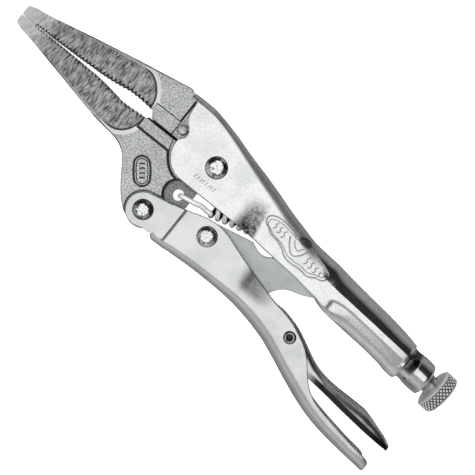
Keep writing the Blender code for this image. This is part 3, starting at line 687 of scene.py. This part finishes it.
def folded(table, lines, columns, front=None, press=None, sheet=SHEET, spacing=None, rim=0.3):
    """A folded sheet: a grid laid along the stations, bent to each section, given its thickness."""
    bm = bmesh.new()
    bmesh.ops.create_grid(bm, x_segments=lines, y_segments=columns, size=1.0)
    first, last = table[0][0], table[-1][0]
    for vert in bm.verts:
        u, share, side = (vert.co.x + 1) / 2, min(1.0, abs(vert.co.y)), 1.0 if vert.co.y > 0 else -1.0
        x = first + (last - first) * (spacing(u) if spacing else u)
        y, z = on_section(between(table, x), share)
        if front:
            x = front(x, y)
            y, z = on_section(between(table, x), share)
        spot = Vector((x, y, z * side))
        if press:
            spot = press(spot, side)
        vert.co = spot
    bm.normal_update()
    up = max(bm.faces, key=lambda f: f.calc_center_median().z)
    if up.normal.z < 0:
        bmesh.ops.reverse_faces(bm, faces=bm.faces)
    bm.normal_update()
    outer = set(bm.verts)
    bmesh.ops.solidify(bm, geom=bm.faces[:], thickness=sheet)
    edges = [e for e in bm.edges if (e.verts[0] in outer) != (e.verts[1] in outer)]
    ends = [(e.verts[0].co.copy(), e.verts[1].co.copy()) for e in edges]
    known = set(bm.verts)
    bmesh.ops.subdivide_edges(bm, edges=edges, cuts=4, use_grid_fill=True)
    bmesh.ops.recalc_face_normals(bm, faces=bm.faces)
    bm.normal_update()
    added = [v for v in bm.verts if v not in known]
    near = kdtree.KDTree(len(added))
    for i, vert in enumerate(added):
        near.insert(vert.co, i)
    near.balance()
    for a, b in ends:
        for k, share, out in ((0.2, 0.04, 0.6), (0.4, 0.16, 1.0), (0.6, 0.84, 1.0), (0.8, 0.96, 0.6)):
            vert = added[near.find(a.lerp(b, k))[1]]
            vert.co = a.lerp(b, share) + vert.normal * out * rim
    return bm


front_edge = [
    (18.2, -24.5), (16.2, -24.5), (15.95, -22.6), (15.1, -21.9), (11.5, -21.5), (9.0, -20.9), (7.1, -20.0),
    (5.9, -18.6), (4.6, -17.3), (2.8, -16.8), (1.0, -17.2), (0.0, -18.2), (-1.4, -18.8), (-3.5, -18.6),
    (-6.0, -17.8), (-8.5, -16.2), (-10.7, -13.8), (-11.9, -11.0), (-12.3, -8.0),
]
front_edge = [(-y, x) for y, x in front_edge]
FRONT = front_edge[0][1]


def to_front(x, y):
    """Moves a line of the grid so that the first one lies on the front edge."""
    shift = between(front_edge, -y)[0] - FRONT
    return x + shift * (1 - smooth(x, FRONT, FRONT + 6 + 1.6 * shift))


def neck_row(x, half, curl=78.0, waist=0.0):
    """A row of the table where the sheet is rolled round the screw, centred on its axis."""
    middle = NECK_CENTRE.y + (x - NECK_CENTRE.x) * AXIS_TILT
    return (x, middle + half, middle - half, half - waist, half - waist - 0.3, half - 0.3, curl)


upper = [
    (x, web, edge, 8.0 + wide, bend, roll, curl)
    for x, web, edge, wide, bend, roll, curl in (
        (-24.5, 18.0, -12.2, 0.0, 2.8, 4.0, 4), (-20.0, 18.1, -12.2, 0.0, 2.8, 4.0, 4),
        (-15.0, 17.95, -12.2, 0.0, 2.8, 4.0, 4), (-10.0, 17.2, -12.2, 0.0, 2.8, 4.0, 4),
        (-5.0, 16.1, -12.2, 0.0, 2.9, 4.0, 4), (0.0, 14.85, -12.2, 0.0, 3.1, 4.0, 4),
        (6.0, 13.1, -12.2, 0.0, 3.4, 4.0, 4), (13.0, 11.3, -12.2, 0.0, 3.9, 4.0, 4),
        (18.0, 10.1, -12.2, -0.1, 4.3, 4.0, 4), (22.0, 9.0, -12.2, -0.3, 4.4, 4.0, 4),
        (26.0, 7.9, -12.25, -0.4, 4.5, 4.0, 4), (30.0, 6.7, -12.4, -0.4, 4.9, 4.0, 4),
        (35.0, 5.2, -12.9, -0.4, 5.1, 4.0, 4), (42.0, 3.5, -13.3, -0.4, 5.3, 4.0, 4),
        (50.0, 1.7, -13.8, -0.4, 5.8, 4.0, 6), (57.0, 1.1, -14.7, -0.4, 5.6, 4.0, 8),
        (62.0, 0.8, -15.4, -0.4, 4.6, 4.0, 14), (66.0, 0.3, -16.8, -0.3, 5.0, 4.6, 20),
        (70.0, -0.2, -17.7, -0.3, 5.0, 5.0, 30), (80.0, -1.3, -18.5, -0.3, 5.0, 5.0, 50),
        (90.0, -2.3, -19.1, -0.3, 5.0, 5.0, 50), (99.0, -3.5, -20.0, -0.35, 5.0, 5.0, 50),
        (104.5, -4.6, -21.0, -0.5, 4.2, 5.4, 54), (105.9, -5.0, -20.9, -0.7, 4.8, 5.6, 58),
    )
]
upper += [
    neck_row(106.9, 6.75, 62.0, 1.3), neck_row(107.2, 6.75, 63.0, 1.28), neck_row(109.3, 6.7, 72.0, 0.62),
    neck_row(111.0, 6.95), neck_row(116.4, 6.95), neck_row(117.4, 6.6), neck_row(117.9, 5.9),
]

HOLLOW_DEPTH = 1.0
BACK_SLOPE = 0.38
PANEL_STEP, PANEL_SLOPE = 0.30, 0.16


def press_upper(spot, side):
    """The hollow behind the jaw, the tube's sloping back and the long panel in each side."""
    x, y, z = spot
    bowl = smooth(x, 16.5, 28.5) * min(1.0, max(0.0, (64.0 - x) / 36.0)) * (1 - smooth(y, -9.0, 6.0)) * HOLLOW_DEPTH
    crease = y + 7.2 + 0.068 * (x - 60.0)
    slope = BACK_SLOPE * max(0.0, crease) * smooth(x, 52.0, 68.0) * (1 - smooth(x, 104.5, 106.5))
    top = -10.9 - 0.085 * (x - 78.0) if x > 78 else -10.9 - 0.055 * max(0.0, 74.0 - x) ** 1.6
    lean = max(0.0, min(5.0, top - y - 0.5)) * smooth(x, 69.0, 80.0)
    deep = PANEL_STEP * smooth(top - y, -0.3, 0.5) + PANEL_SLOPE * lean
    panel = deep * smooth(x, 66.4, 69.6) * (1 - smooth(x, 104.6, 106.2))
    return Vector((x, y, z - side * ((bowl + slope) * smooth(abs(z), 1.0, 6.5) + panel * smooth(abs(z), 3.0, 6.5))))


def skin(x, y):
    """The point of the upper handle's outer surface over a place in its side view."""
    web, _, half, bend, _, _ = between(upper, x)
    over = max(0.0, y - web + bend)
    return press_upper(Vector((x, y, half - bend + sqrt(max(0.0, bend * bend - over * over)))), 1.0)


def relief(points, radius, closed=False):
    """A line pressed up in the side of the upper handle."""
    line = [skin(p.x, p.y) for p in outline(points, 4)] if closed else [skin(x, y) for x, y in points]
    return both_sides(wire(line, radius, closed))


border = [
    (28.0, -2.0), (30.0, -0.3), (33.0, 0.3), (36.5, -0.1), (40.0, -0.7), (42.0, -1.3), (44.3, 0.3),
    (46.5, 0.8), (49.0, 0.2), (51.5, -2.0), (54.0, -2.8), (57.0, -3.5), (59.2, -4.3), (60.7, -5.3),
    (60.9, -7.4), (59.7, -8.8), (57.4, -9.4), (54.6, -10.9), (50.0, -10.6), (46.0, -11.0), (42.6, -10.5),
    (39.6, -8.6), (36.0, -7.3), (32.5, -6.7), (30.6, -5.4), (28.6, -4.4),
]
middle = Vector((45.0, -5.0, 0.0))
inner = [(middle.x + (x - middle.x) * 0.93, middle.y + (y - middle.y) * 0.78) for x, y in border]
marks = [relief(border, 0.34, True), relief(inner, 0.22, True)]
for x, y, tall in (
    (32.5, -3.0, 1.5), (34.8, -3.4, 1.7), (37.1, -3.8, 1.9), (50.6, -6.2, 1.8), (53.0, -6.7, 1.7),
    (55.4, -7.1, 1.5), (57.6, -7.5, 1.1),
):
    bent = [(x - 0.5, y - tall), (x + 0.3, y - tall * 0.3), (x - 0.3, y + tall * 0.4), (x + 0.5, y + tall)]
    marks.append(relief(bent, 0.24))
marks.append(relief([(39.2, -2.6), (42.0, -6.6), (44.4, -8.2), (46.6, -7.0), (48.8, -3.2)], 0.30))
marks.append(relief([(41.6, -2.8), (43.6, -4.9), (45.2, -5.4), (46.6, -3.4)], 0.24))
handle = folded(upper, 330, 110, front=to_front, press=press_upper)
handle = carved(handle, marks, "UNION", "MANIFOLD")
stamps = [drill((0.0, 0.0), RIVET_HOLE)]
for step in range(8):
    x = -4.6 + step * 1.3
    stamps.append(relief([(x, -8.4), (x + 0.25 * (step % 3), -7.4), (x + 0.5, -6.6)], 0.21))
handle = carved(handle, stamps, solver="MANIFOLD")
piece(handle, "upper_handle_sheet", "body", "upper_handle", sheet_nickel, sharp=40.0)

# ---- Lower handle ----
# A second plated channel, open upward, whose two ears reach round the jaw's arm to its rivet.
# Its tail tapers to a rounded half tube that the palm closes on.

LINK_PIVOT = (14.0, -23.35)
LEVER_PIVOT = (64.0, -33.9)
TUBE_HOLE = 2.2
lower = [
    (x, web, edge, 8.2 + wide, bend, 4.0, 4.0)
    for x, web, edge, wide, bend in (
        (-4.3, -37.0, -22.0, -0.7, 2.6), (-2.5, -38.2, -21.5, -0.7, 2.8), (-0.2, -38.15, -20.9, -0.7, 2.9),
        (0.6, -38.1, -20.6, -0.68, 3.0), (1.5, -38.1, -20.3, -0.02, 3.1),
        (2.8, -38.0, -20.0, 0.0, 3.2), (6.0, -37.6, -18.9, 0.0, 3.2),
        (10.0, -37.4, -17.8, 0.0, 3.3), (15.0, -37.1, -17.25, 0.0, 3.4), (20.0, -37.0, -18.0, 0.0, 3.5),
        (25.0, -37.0, -19.6, 0.0, 3.6), (30.0, -37.1, -21.2, 0.0, 3.8), (35.5, -37.4, -22.8, -0.1, 4.2),
        (39.0, -37.8, -23.8, -0.25, 4.5), (45.0, -38.8, -25.5, -0.3, 4.8), (51.0, -40.1, -27.0, -0.1, 5.0),
        (56.0, -41.5, -27.8, 0.0, 5.0), (61.0, -43.4, -29.0, 0.0, 5.0), (66.0, -45.4, -31.0, 0.0, 5.0),
        (71.0, -47.6, -33.6, 0.0, 5.0), (75.0, -49.2, -37.0, 0.0, 5.0), (79.0, -50.8, -41.6, 0.0, 5.0),
        (83.0, -52.2, -45.3, 0.1, 5.0), (88.0, -53.7, -47.8, 0.3, 4.7), (94.0, -55.0, -49.2, 0.4, 4.5),
        (102.0, -56.1, -50.6, 0.4, 4.3), (110.0, -56.8, -51.8, 0.4, 4.0), (115.5, -57.2, -52.4, 0.3, 3.9),
        (117.6, -57.4, -52.8, 0.0, 3.7), (118.7, -57.5, -53.4, -0.5, 3.3), (119.0, -57.5, -54.0, -0.9, 3.0),
    )
]


def press_lower(spot, side):
    """The shallow finger hollow in each wall ahead of the lever's rivet."""
    x, y, z = spot
    bowl = 0.6 * smooth(x, 32.0, 41.0) * (1 - smooth(x, 41.0, 58.0)) * smooth(y, -34.0, -26.0)
    return Vector((x, y, z - side * bowl * smooth(abs(z), 4.5, 7.5)))


def held(place):
    """The satin of the sheet, with painted shade in the finger hollow."""
    colour, rough, height = satin(place)
    along, up = place.part(0), place.part(1)
    hollow = along.stepped(33.6, 37.0) * (1 - along.stepped(40.0, 54.0)) * up.stepped(-33.0, -28.6)
    # Painted shade in the finger hollow.
    shade_share = hollow * (place.grain(1.5, 2.0, 0.5) * 0.5 + 0.42)
    return colour.toward((0.03, 0.033, 0.036, 1.0), shade_share), rough, height


handle = folded(lower, 290, 96, press=press_lower)
ear = [
    (1.2, -20.9, 1), (-4.0, -21.9), (-8.0, -22.7), *arc(HANDLE_PIVOT, 7.0, 96, 268, 40), (-9.6, -37.2),
    (-7.6, -36.5), (-4.6, -36.3), (-3.4, -35.1, 1), (1.2, -35.1, 1),
]
ears = both_sides(slab(ear, 5.45, 7.55, 0.3, lambda p: p.x < -4.5, segments=3))
handle = carved(handle, [ears], "UNION", "MANIFOLD")
holes = [drill(HANDLE_PIVOT, RIVET_HOLE), drill(LINK_PIVOT, RIVET_HOLE), drill(LEVER_PIVOT, TUBE_HOLE)]
handle = carved(handle, holes, solver="MANIFOLD")
satin_sheet = metal("satin_sheet", held, 0.05)
piece(handle, "lower_handle_sheet", "handle", "lower_handle", satin_sheet, sharp=40.0)

# ---- Toggle link ----
# A stamped steel plate with a dull zinc finish. It turns on the lower handle's rivet and bears
# on the tip of the screw inside the upper handle.


def dull(place):
    """Tumbled steel plate: even grey with a fine dry grain."""
    fine, slow = place.grain(0.5, 3.0, 0.6), place.grain(6.0, 2.0)
    tone = (fine * 0.5 + slow * 0.5).stepped(0.3, 0.7)
    return tone.tinted((0.58, 0.61, 0.62), (0.76, 0.79, 0.80)), fine * 0.12 + 0.40, fine


LINK_HALF = 4.5
outline_link = [
    *arc(LINK_PIVOT, 6.4, 290, 112, 30), (20.0, -15.7), (25.0, -14.6), (29.6, -13.6, 1), (31.6, -14.6),
    (34.0, -15.35), (36.4, -15.3), (38.5, -14.3), (41.0, -12.6), (46.0, -10.4), (56.0, -7.4), (65.0, -6.0),
    (70.1, -5.97), (73.2, -7.6), (73.9, -9.8), (73.0, -12.2), (70.1, -13.57), (66.0, -14.4), (62.0, -15.9),
    (58.0, -17.9), (52.0, -20.0), (49.6, -21.6), (48.0, -23.6), (47.0, -25.4), (46.2, -27.6), (43.0, -29.3),
    (35.0, -29.8), (25.0, -29.9),
]
link = carved(slab(outline_link, -LINK_HALF, LINK_HALF, 0.45, segments=3), [drill(LINK_PIVOT, RIVET_HOLE)])
link_steel = metal("link_steel", dull, 0.03, metallic=0.85)
piece(link, "toggle_link_plate", "link", "toggle_link", link_steel)

# ---- Release lever ----
# A narrow folded sheet on a tubular rivet, flared behind the handle for a fingertip.

LEVER_HALF = 5.5
lever_table = [
    (x, web, edge, LEVER_HALF + wide, bend, 3.0, 4.0)
    for x, web, edge, wide, bend in (
        (49.8, -27.7, -30.6, -0.3, 2.2), (52.0, -27.0, -32.0, 0.0, 2.4), (56.0, -26.9, -34.8, 0.0, 2.7),
        (60.0, -27.6, -37.4, 0.0, 3.0), (64.0, -28.6, -38.8, 0.0, 3.0), (68.0, -30.2, -39.5, 0.0, 3.0),
        (72.0, -32.1, -40.2, 0.0, 3.0), (76.0, -34.1, -40.9, 0.0, 3.0), (80.0, -35.8, -41.7, 0.0, 3.0),
        (84.0, -36.9, -42.1, 0.3, 3.2), (88.0, -37.5, -42.4, 1.1, 3.6), (93.0, -37.8, -42.9, 1.8, 4.0),
        (99.0, -37.7, -43.5, 2.0, 4.2), (106.0, -37.7, -44.1, 2.0, 4.2), (110.0, -38.5, -44.4, 1.9, 3.8),
        (114.0, -39.8, -44.6, 1.7, 2.8), (118.0, -41.0, -44.8, 1.1, 2.4), (120.8, -42.3, -44.9, 0.0, 1.9),
        (122.2, -43.0, -45.1, -1.3, 1.7),
    )
]


def lever_nickel(place):
    """Nickel, bright on its back, with painted shade along the inner flange behind the rivet."""
    colour, rough, height = satin(place)
    along, up = place.part(0), place.part(1)
    # Below the flange line, behind the rivet, the colour is darkened to near-black as painted shade.
    unshaded = (up + along * 0.085).stepped(-33.3, -32.4) + (1 - along.stepped(76.0, 84.0))
    return colour.toward((0.03, 0.03, 0.035, 1.0), 1 - unshaded.maths("MINIMUM", unshaded, 1.0)), rough, height


lever = folded(lever_table, 180, 64, sheet=1.6, rim=0.25)
lever = carved(lever, [drill(LEVER_PIVOT, TUBE_HOLE)], solver="MANIFOLD")
lever_finish = metal("lever_nickel", lever_nickel)
piece(lever, "release_lever_sheet", "lever", "release_lever", lever_finish, sharp=40.0)

# ---- Rivets ----
# Solid steel rivets with domed heads on both sides, and a tubular one with rolled ends that
# the lever turns on. A short pin locates the fixed jaw in the upper handle.


def polished(place):
    """Polished rivet heads with a few pits, painted shade round the foot and a few painted dark reflections."""
    pits, wave = place.grain(0.7, 3.0, 0.6), place.grain(1.9, 1.0)
    # The foot of each dome is darkened as painted shade, and the dark spots below are painted reflections.
    crown = abs(place.part(2)).stepped(8.9, 9.75)
    dark_reflections = place.grain(1.5, 1.0).stepped(0.58, 0.66)
    tone = pits.stepped(0.22, 0.48) * (crown * 0.75 + 0.25) * (1 - dark_reflections * 0.8)
    rough = 0.16 - pits.stepped(0.3, 0.6) * 0.06
    return tone.tinted((0.06, 0.065, 0.07), (0.90, 0.92, 0.93)), rough, pits * 0.4 + wave * 6.0


rivet_steel = metal("rivet_steel", polished, 0.05)
HEAD_GAP, HEAD_FLANK, DOME_STEPS = 0.3, 0.35, 18


def domed(half, radius, rise, shank=3.2):
    """The profile of a solid rivet with a domed head outside each wall."""
    top = half + HEAD_GAP
    side = [(shank, 0.0), (shank, top), (radius - 0.15, top), (radius, top + 0.15), (radius, top + HEAD_FLANK)]
    for step in range(1, DOME_STEPS):
        reach = 1 - (step / DOME_STEPS) ** 1.6
        side.append((radius * reach, top + HEAD_FLANK + (rise - HEAD_FLANK) * (1 - reach ** 5.0) ** 0.8))
    side += [(0.0, top + rise)]
    return [(r, -z) for r, z in reversed(side)] + side[1:]


for name, node, body, centre, half, radius in (
    ("jaw_rivet_heads", "jaw_rivet", "body", (0.0, 0.0), 8.0, 4.55),
    ("handle_rivet_heads", "handle_rivet", "handle", HANDLE_PIVOT, 7.55, 4.2),
    ("link_rivet_heads", "link_rivet", "handle", LINK_PIVOT, 8.2, 4.2),
):
    piece(turned(domed(half, radius, 1.9), centre), name, body, node, rivet_steel, sharp=50.0)

TUBE_HALF = 8.5
rolled = [(0.95, 0.35), (1.3, 0.62), (1.9, 0.7), (2.4, 0.5), (2.62, 0.2), (2.55, 0.0), (1.9, 0.0)]
rolled = [(r, -TUBE_HALF - z) for r, z in rolled] + [(r, TUBE_HALF + z) for r, z in reversed(rolled)]
tube = turned(rolled + rolled[:1], LEVER_PIVOT, 40)
piece(tube, "lever_rivet_tube", "handle", "lever_rivet", rivet_steel, sharp=60.0)

pin = [(0.0, -8.1), (1.3, -8.1), (1.75, -7.9), (1.9, -7.6), (1.9, 7.6), (1.75, 7.9), (1.3, 8.1), (0.0, 8.1)]
pin = turned(pin, LOCATING_PIN, 32)
piece(pin, "locating_pin_ends", "body", "locating_pin", forging, sharp=50.0)

# ---- Adjusting screw ----
# A threaded steel rod through the rolled neck. Turning its knob moves the point that the
# link bears on, and so sets how wide the jaws lock.

SCREW_RADIUS = 3.9
THREAD_PITCH = 1.41
THREAD_DEPTH = 0.6
SCREW_TIP, SCREW_END = -34.0, 8.5
along = Vector((cos(AXIS_TILT), sin(AXIS_TILT), 0.0))
across = Vector((-sin(AXIS_TILT), cos(AXIS_TILT), 0.0))


def screw_steel(place):
    """Cut thread: an even grey steel with a fine grain."""
    fine = place.grain(0.4, 2.0, 0.5)
    return fine.tinted((0.55, 0.56, 0.57), (0.78, 0.79, 0.80)), fine * 0.2 + 0.22, fine


def on_axis(travel, radius):
    """A point along the screw, measured from the neck, at a radius from its axis."""
    return NECK_CENTRE + along * travel + across * radius


TURNS, TURN_STEPS = 22, 24
core = SCREW_RADIUS - THREAD_DEPTH
bm = bmesh.new()
begin = SCREW_END - 0.4 - THREAD_PITCH * (TURNS + 1)
profile = [(0.0, core), (0.10, core), (0.46, SCREW_RADIUS), (0.64, SCREW_RADIUS), (0.90, core), (1.0, core)]
line = [bm.verts.new(on_axis(begin + share * THREAD_PITCH, radius)) for share, radius in profile]
edges = [bm.edges.new(pair) for pair in zip(line, line[1:])]
bmesh.ops.spin(
    bm, geom=line + edges, cent=NECK_CENTRE, axis=along, dvec=along * (THREAD_PITCH / TURN_STEPS),
    angle=2 * pi * TURNS, steps=TURN_STEPS * TURNS, use_merge=False,
)
bmesh.ops.remove_doubles(bm, verts=bm.verts, dist=0.01)
bmesh.ops.holes_fill(bm, edges=[e for e in bm.edges if e.is_boundary], sides=0)
bmesh.ops.recalc_face_normals(bm, faces=bm.faces)
rod = [
    (SCREW_TIP, 0.0), (SCREW_TIP, core - 0.9), (SCREW_TIP + 0.9, core - 0.05), (SCREW_END, core - 0.05),
    (SCREW_END, 0.0),
]
rod = spun([on_axis(t, r) for t, r in rod], NECK_CENTRE, along, TURN_STEPS)
mesh = bpy.data.meshes.new("rod")
rod.to_mesh(mesh)
rod.free()
bm.from_mesh(mesh)
thread_steel = metal("screw_steel", screw_steel, 0.03)
piece(bm, "adjusting_screw_thread", "screw", "adjusting_screw", thread_steel, sharp=40.0)

# ---- Knob ----
# A round steel knob with a diamond knurl, chamfered ends and a plain collar towards the neck.

KNOB_RADIUS = 8.85
knob_start, knob_end = SCREW_END + 0.1, SCREW_END + 5.8


def knob_steel(place):
    """Bright points on the knurl, painted shade down in its valleys, and bright turned ends."""
    fine = place.grain(0.8, 2.0, 0.5)
    arm = place.node("ShaderNodeVectorMath", {"operation": "SUBTRACT"}, {0: place, 1: tuple(NECK_CENTRE)})
    travel = arm.node("ShaderNodeVectorMath", {"operation": "DOT_PRODUCT"}, {0: arm, 1: tuple(along)}, out=1)
    swing = arm.node("ShaderNodeVectorMath", {"operation": "CROSS_PRODUCT"}, {0: arm, 1: tuple(along)})
    radius = swing.node("ShaderNodeVectorMath", {"operation": "LENGTH"}, {0: swing}, out=1)
    # Painted shade down in the knurl's valleys.
    valley_shade = 1 - radius.stepped(KNOB_RADIUS - 0.46, KNOB_RADIUS - 0.20)
    valley_shade = travel.stepped(knob_start + 0.5, knob_start + 0.8) * valley_shade
    colour = fine.stepped(0.3, 0.7).tinted((0.86, 0.88, 0.89), (0.97, 0.98, 0.98))
    return colour.toward((0.03, 0.032, 0.034, 1.0), valley_shade * 0.93), fine * 0.1 + 0.14, fine


RIDGES, SLANT, KNURL_DEPTH = 30, 1.85, 0.75
band = knob_end - knob_start - 1.5
rows = [
    (knob_start, 0.0), (knob_start, 5.2), (knob_start + 0.1, 7.6), (knob_start + 0.15, 8.0),
    (knob_start + 0.7, KNOB_RADIUS - 0.12),
    *((knob_start + 0.75 + band * i / 24, KNOB_RADIUS) for i in range(25)),
    (knob_end - 0.7, KNOB_RADIUS - 0.12), (knob_end - 0.12, 8.1), (knob_end, 7.6), (knob_end, 0.0),
]
bm = spun([on_axis(t, r) for t, r in rows], NECK_CENTRE, along, 288)
for vert in bm.verts:
    arm = vert.co - NECK_CENTRE
    travel = arm.dot(along)
    out = arm - along * travel
    if out.length > KNOB_RADIUS - 0.05:
        turn = pi + (1 if out.z > 0 else -1) * acos(max(-1.0, min(1.0, out.dot(across) / out.length)))
        ridges = RIDGES * turn / (2 * pi)
        one, other = (ridges + travel / SLANT) % 1.0, (ridges - travel / SLANT) % 1.0
        depth = max(abs(one - 0.5), abs(other - 0.5)) * 2
        vert.co -= out.normalized() * KNURL_DEPTH * max(0.0, depth - 0.2)
knob_finish = metal("knob_steel", knob_steel, 0.02, metallic=0.6)
piece(bm, "knob_knurled", "knob", "adjusting_knob", knob_finish, sharp=60.0)

# ---- Spring ----
# Bright wire: a hook through the lug's hole, a close coil that rises into the upper handle,
# and an end that passes through a tab there.

WIRE_RADIUS = 1.0
COIL_RADIUS = 2.65
COIL_TURNS, COIL_STEPS = 9, 20
slope = radians(15.0)
rise = Vector((-sin(slope), cos(slope), 0.0))
start, end = Vector((8.6, -13.7, 0.0)), Vector((35.6, -6.5, 0.0))


def wire_bright(place):
    """Drawn spring wire, bright on its upper turns and dark where the coil is shaded."""
    fine = place.grain(0.6, 2.0, 0.5)
    top = place.part(2).stepped(-0.6, 1.6)
    return (top * (fine * 0.2 + 0.8)).tinted((0.02, 0.02, 0.02), (0.97, 0.98, 0.98)), fine * 0.12 + 0.24, fine


path = [
    (-4.7, -17.4, -3.6), (-4.7, -17.4, -1.0), (-4.7, -17.4, 1.6), (-4.2, -17.3, 2.8), (-2.8, -17.0, 3.3),
    (1.5, -16.2, 3.1), (5.0, -15.4, 2.3), (7.4, -15.6, 1.6),
]
for step in range(COIL_TURNS * COIL_STEPS + 1):
    a = pi * 0.75 + 2 * pi * step / COIL_STEPS
    middle = start + (end - start) * (step / (COIL_TURNS * COIL_STEPS))
    path.append(middle + rise * (COIL_RADIUS * cos(a)) + Vector((0.0, 0.0, COIL_RADIUS * sin(a))))
path += [
    (37.6, -7.6, 1.4), (39.6, -5.6, 0.3), (41.2, -4.6, 0.0), (43.2, -4.6, 0.0), (44.6, -4.0, 0.0),
    (45.2, -2.7, 0.0),
]
spring = placed(wire(path, WIRE_RADIUS), "spring_wire", metal("spring_wire", wire_bright, 0.02, metallic=0.3))
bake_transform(spring)
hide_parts("jaw_spring")

# ---- Floor, light and camera ----
# The tool lies on one side on a pale floor under a wide soft overhead light, seen from above.
# The nickel reflects a bright ceiling, walls that are dark at the back, and a dim ground.

FLOOR_GAP = 0.0002
CAMERA_PLACE, LAMP_PLACE = Vector((23.48, -16.12, 400.0)), Vector((-40.0, 80.0, 700.0))
bm = bmesh.new()
bmesh.ops.create_grid(bm, x_segments=1, y_segments=1, size=2.0)
mesh = bpy.data.meshes.new("floor")
bm.to_mesh(mesh)
bm.free()
floor = bpy.data.objects.new("floor", mesh)
bpy.context.scene.collection.objects.link(floor)
floor.location.z = cad_box[0][2] - FLOOR_GAP
floor.visible_glossy = False
material = bpy.data.materials.new("pale_floor")
material.use_nodes = True
shader = material.node_tree.nodes["Principled BSDF"]
shader.inputs["Base Color"].default_value = (0.9, 0.9, 0.9, 1.0)
shader.inputs["Roughness"].default_value = 0.9
shader.inputs["Specular IOR Level"].default_value = 0.0
shader.inputs["Emission Color"].default_value = (1.0, 1.0, 1.0, 1.0)
shader.inputs["Emission Strength"].default_value = 0.8
mesh.materials.append(material)

world = bpy.data.worlds.new("studio")
world.use_nodes = True
bpy.context.scene.world = world
tree = world.node_tree
ray = Reading(tree.nodes.new("ShaderNodeTexCoord").outputs["Generated"])
side, back, up = ray.part(0), ray.part(1), ray.part(2)


def graded(value, stops):
    """A grey ramp over a direction from -1 to 1."""
    return value.node("ShaderNodeValToRGB", {"stops": stops}, {0: value * 0.5 + 0.5})


panel = up.stepped(0.925, 0.972)
lower_side = [(0.0, 0.30), (0.10, 0.58), (0.20, 0.42), (0.31, 0.36)]
rear_walls = graded(back, lower_side + [(0.47, 0.24), (0.53, 0.03), (0.90, 0.02), (1.0, 0.30)])
near_walls = graded(back, lower_side + [(0.47, 0.34), (0.53, 0.27), (0.90, 0.26), (1.0, 0.34)])
walls = rear_walls.toward(near_walls, side.stepped(-0.17, -0.11) * (1 - side.stepped(0.06, 0.10)))
ground_light = graded(up, [(0.0, 0.07), (0.06, 0.10), (0.22, 0.27), (0.5, 0.30)])
room = ground_light.toward(walls.toward((1.0, 1.0, 1.0, 1.0), panel), up.stepped(-0.05, 0.08))
tree.links.new(room.socket, tree.nodes["Background"].inputs["Color"])
lamp_data = bpy.data.lights.new("soft_light", "AREA")
lamp_data.size = 0.7
lamp_data.energy = 6.5
lamp = bpy.data.objects.new("soft_light", lamp_data)
bpy.context.scene.collection.objects.link(lamp)
lamp.location = pivot + LAMP_PLACE * MM
lamp.visible_glossy = False

TURN = radians(38.8)
camera_data = bpy.data.cameras.new("camera")
camera_data.sensor_width = 36.0
camera_data.lens = 75.8
camera_data.clip_start = 0.01
camera = bpy.data.objects.new("camera", camera_data)
bpy.context.scene.collection.objects.link(camera)
camera.location = pivot + CAMERA_PLACE * MM
camera.rotation_euler = (0.0, 0.0, TURN)
bpy.context.scene.camera = camera
bpy.context.scene.view_settings.view_transform = "Standard"
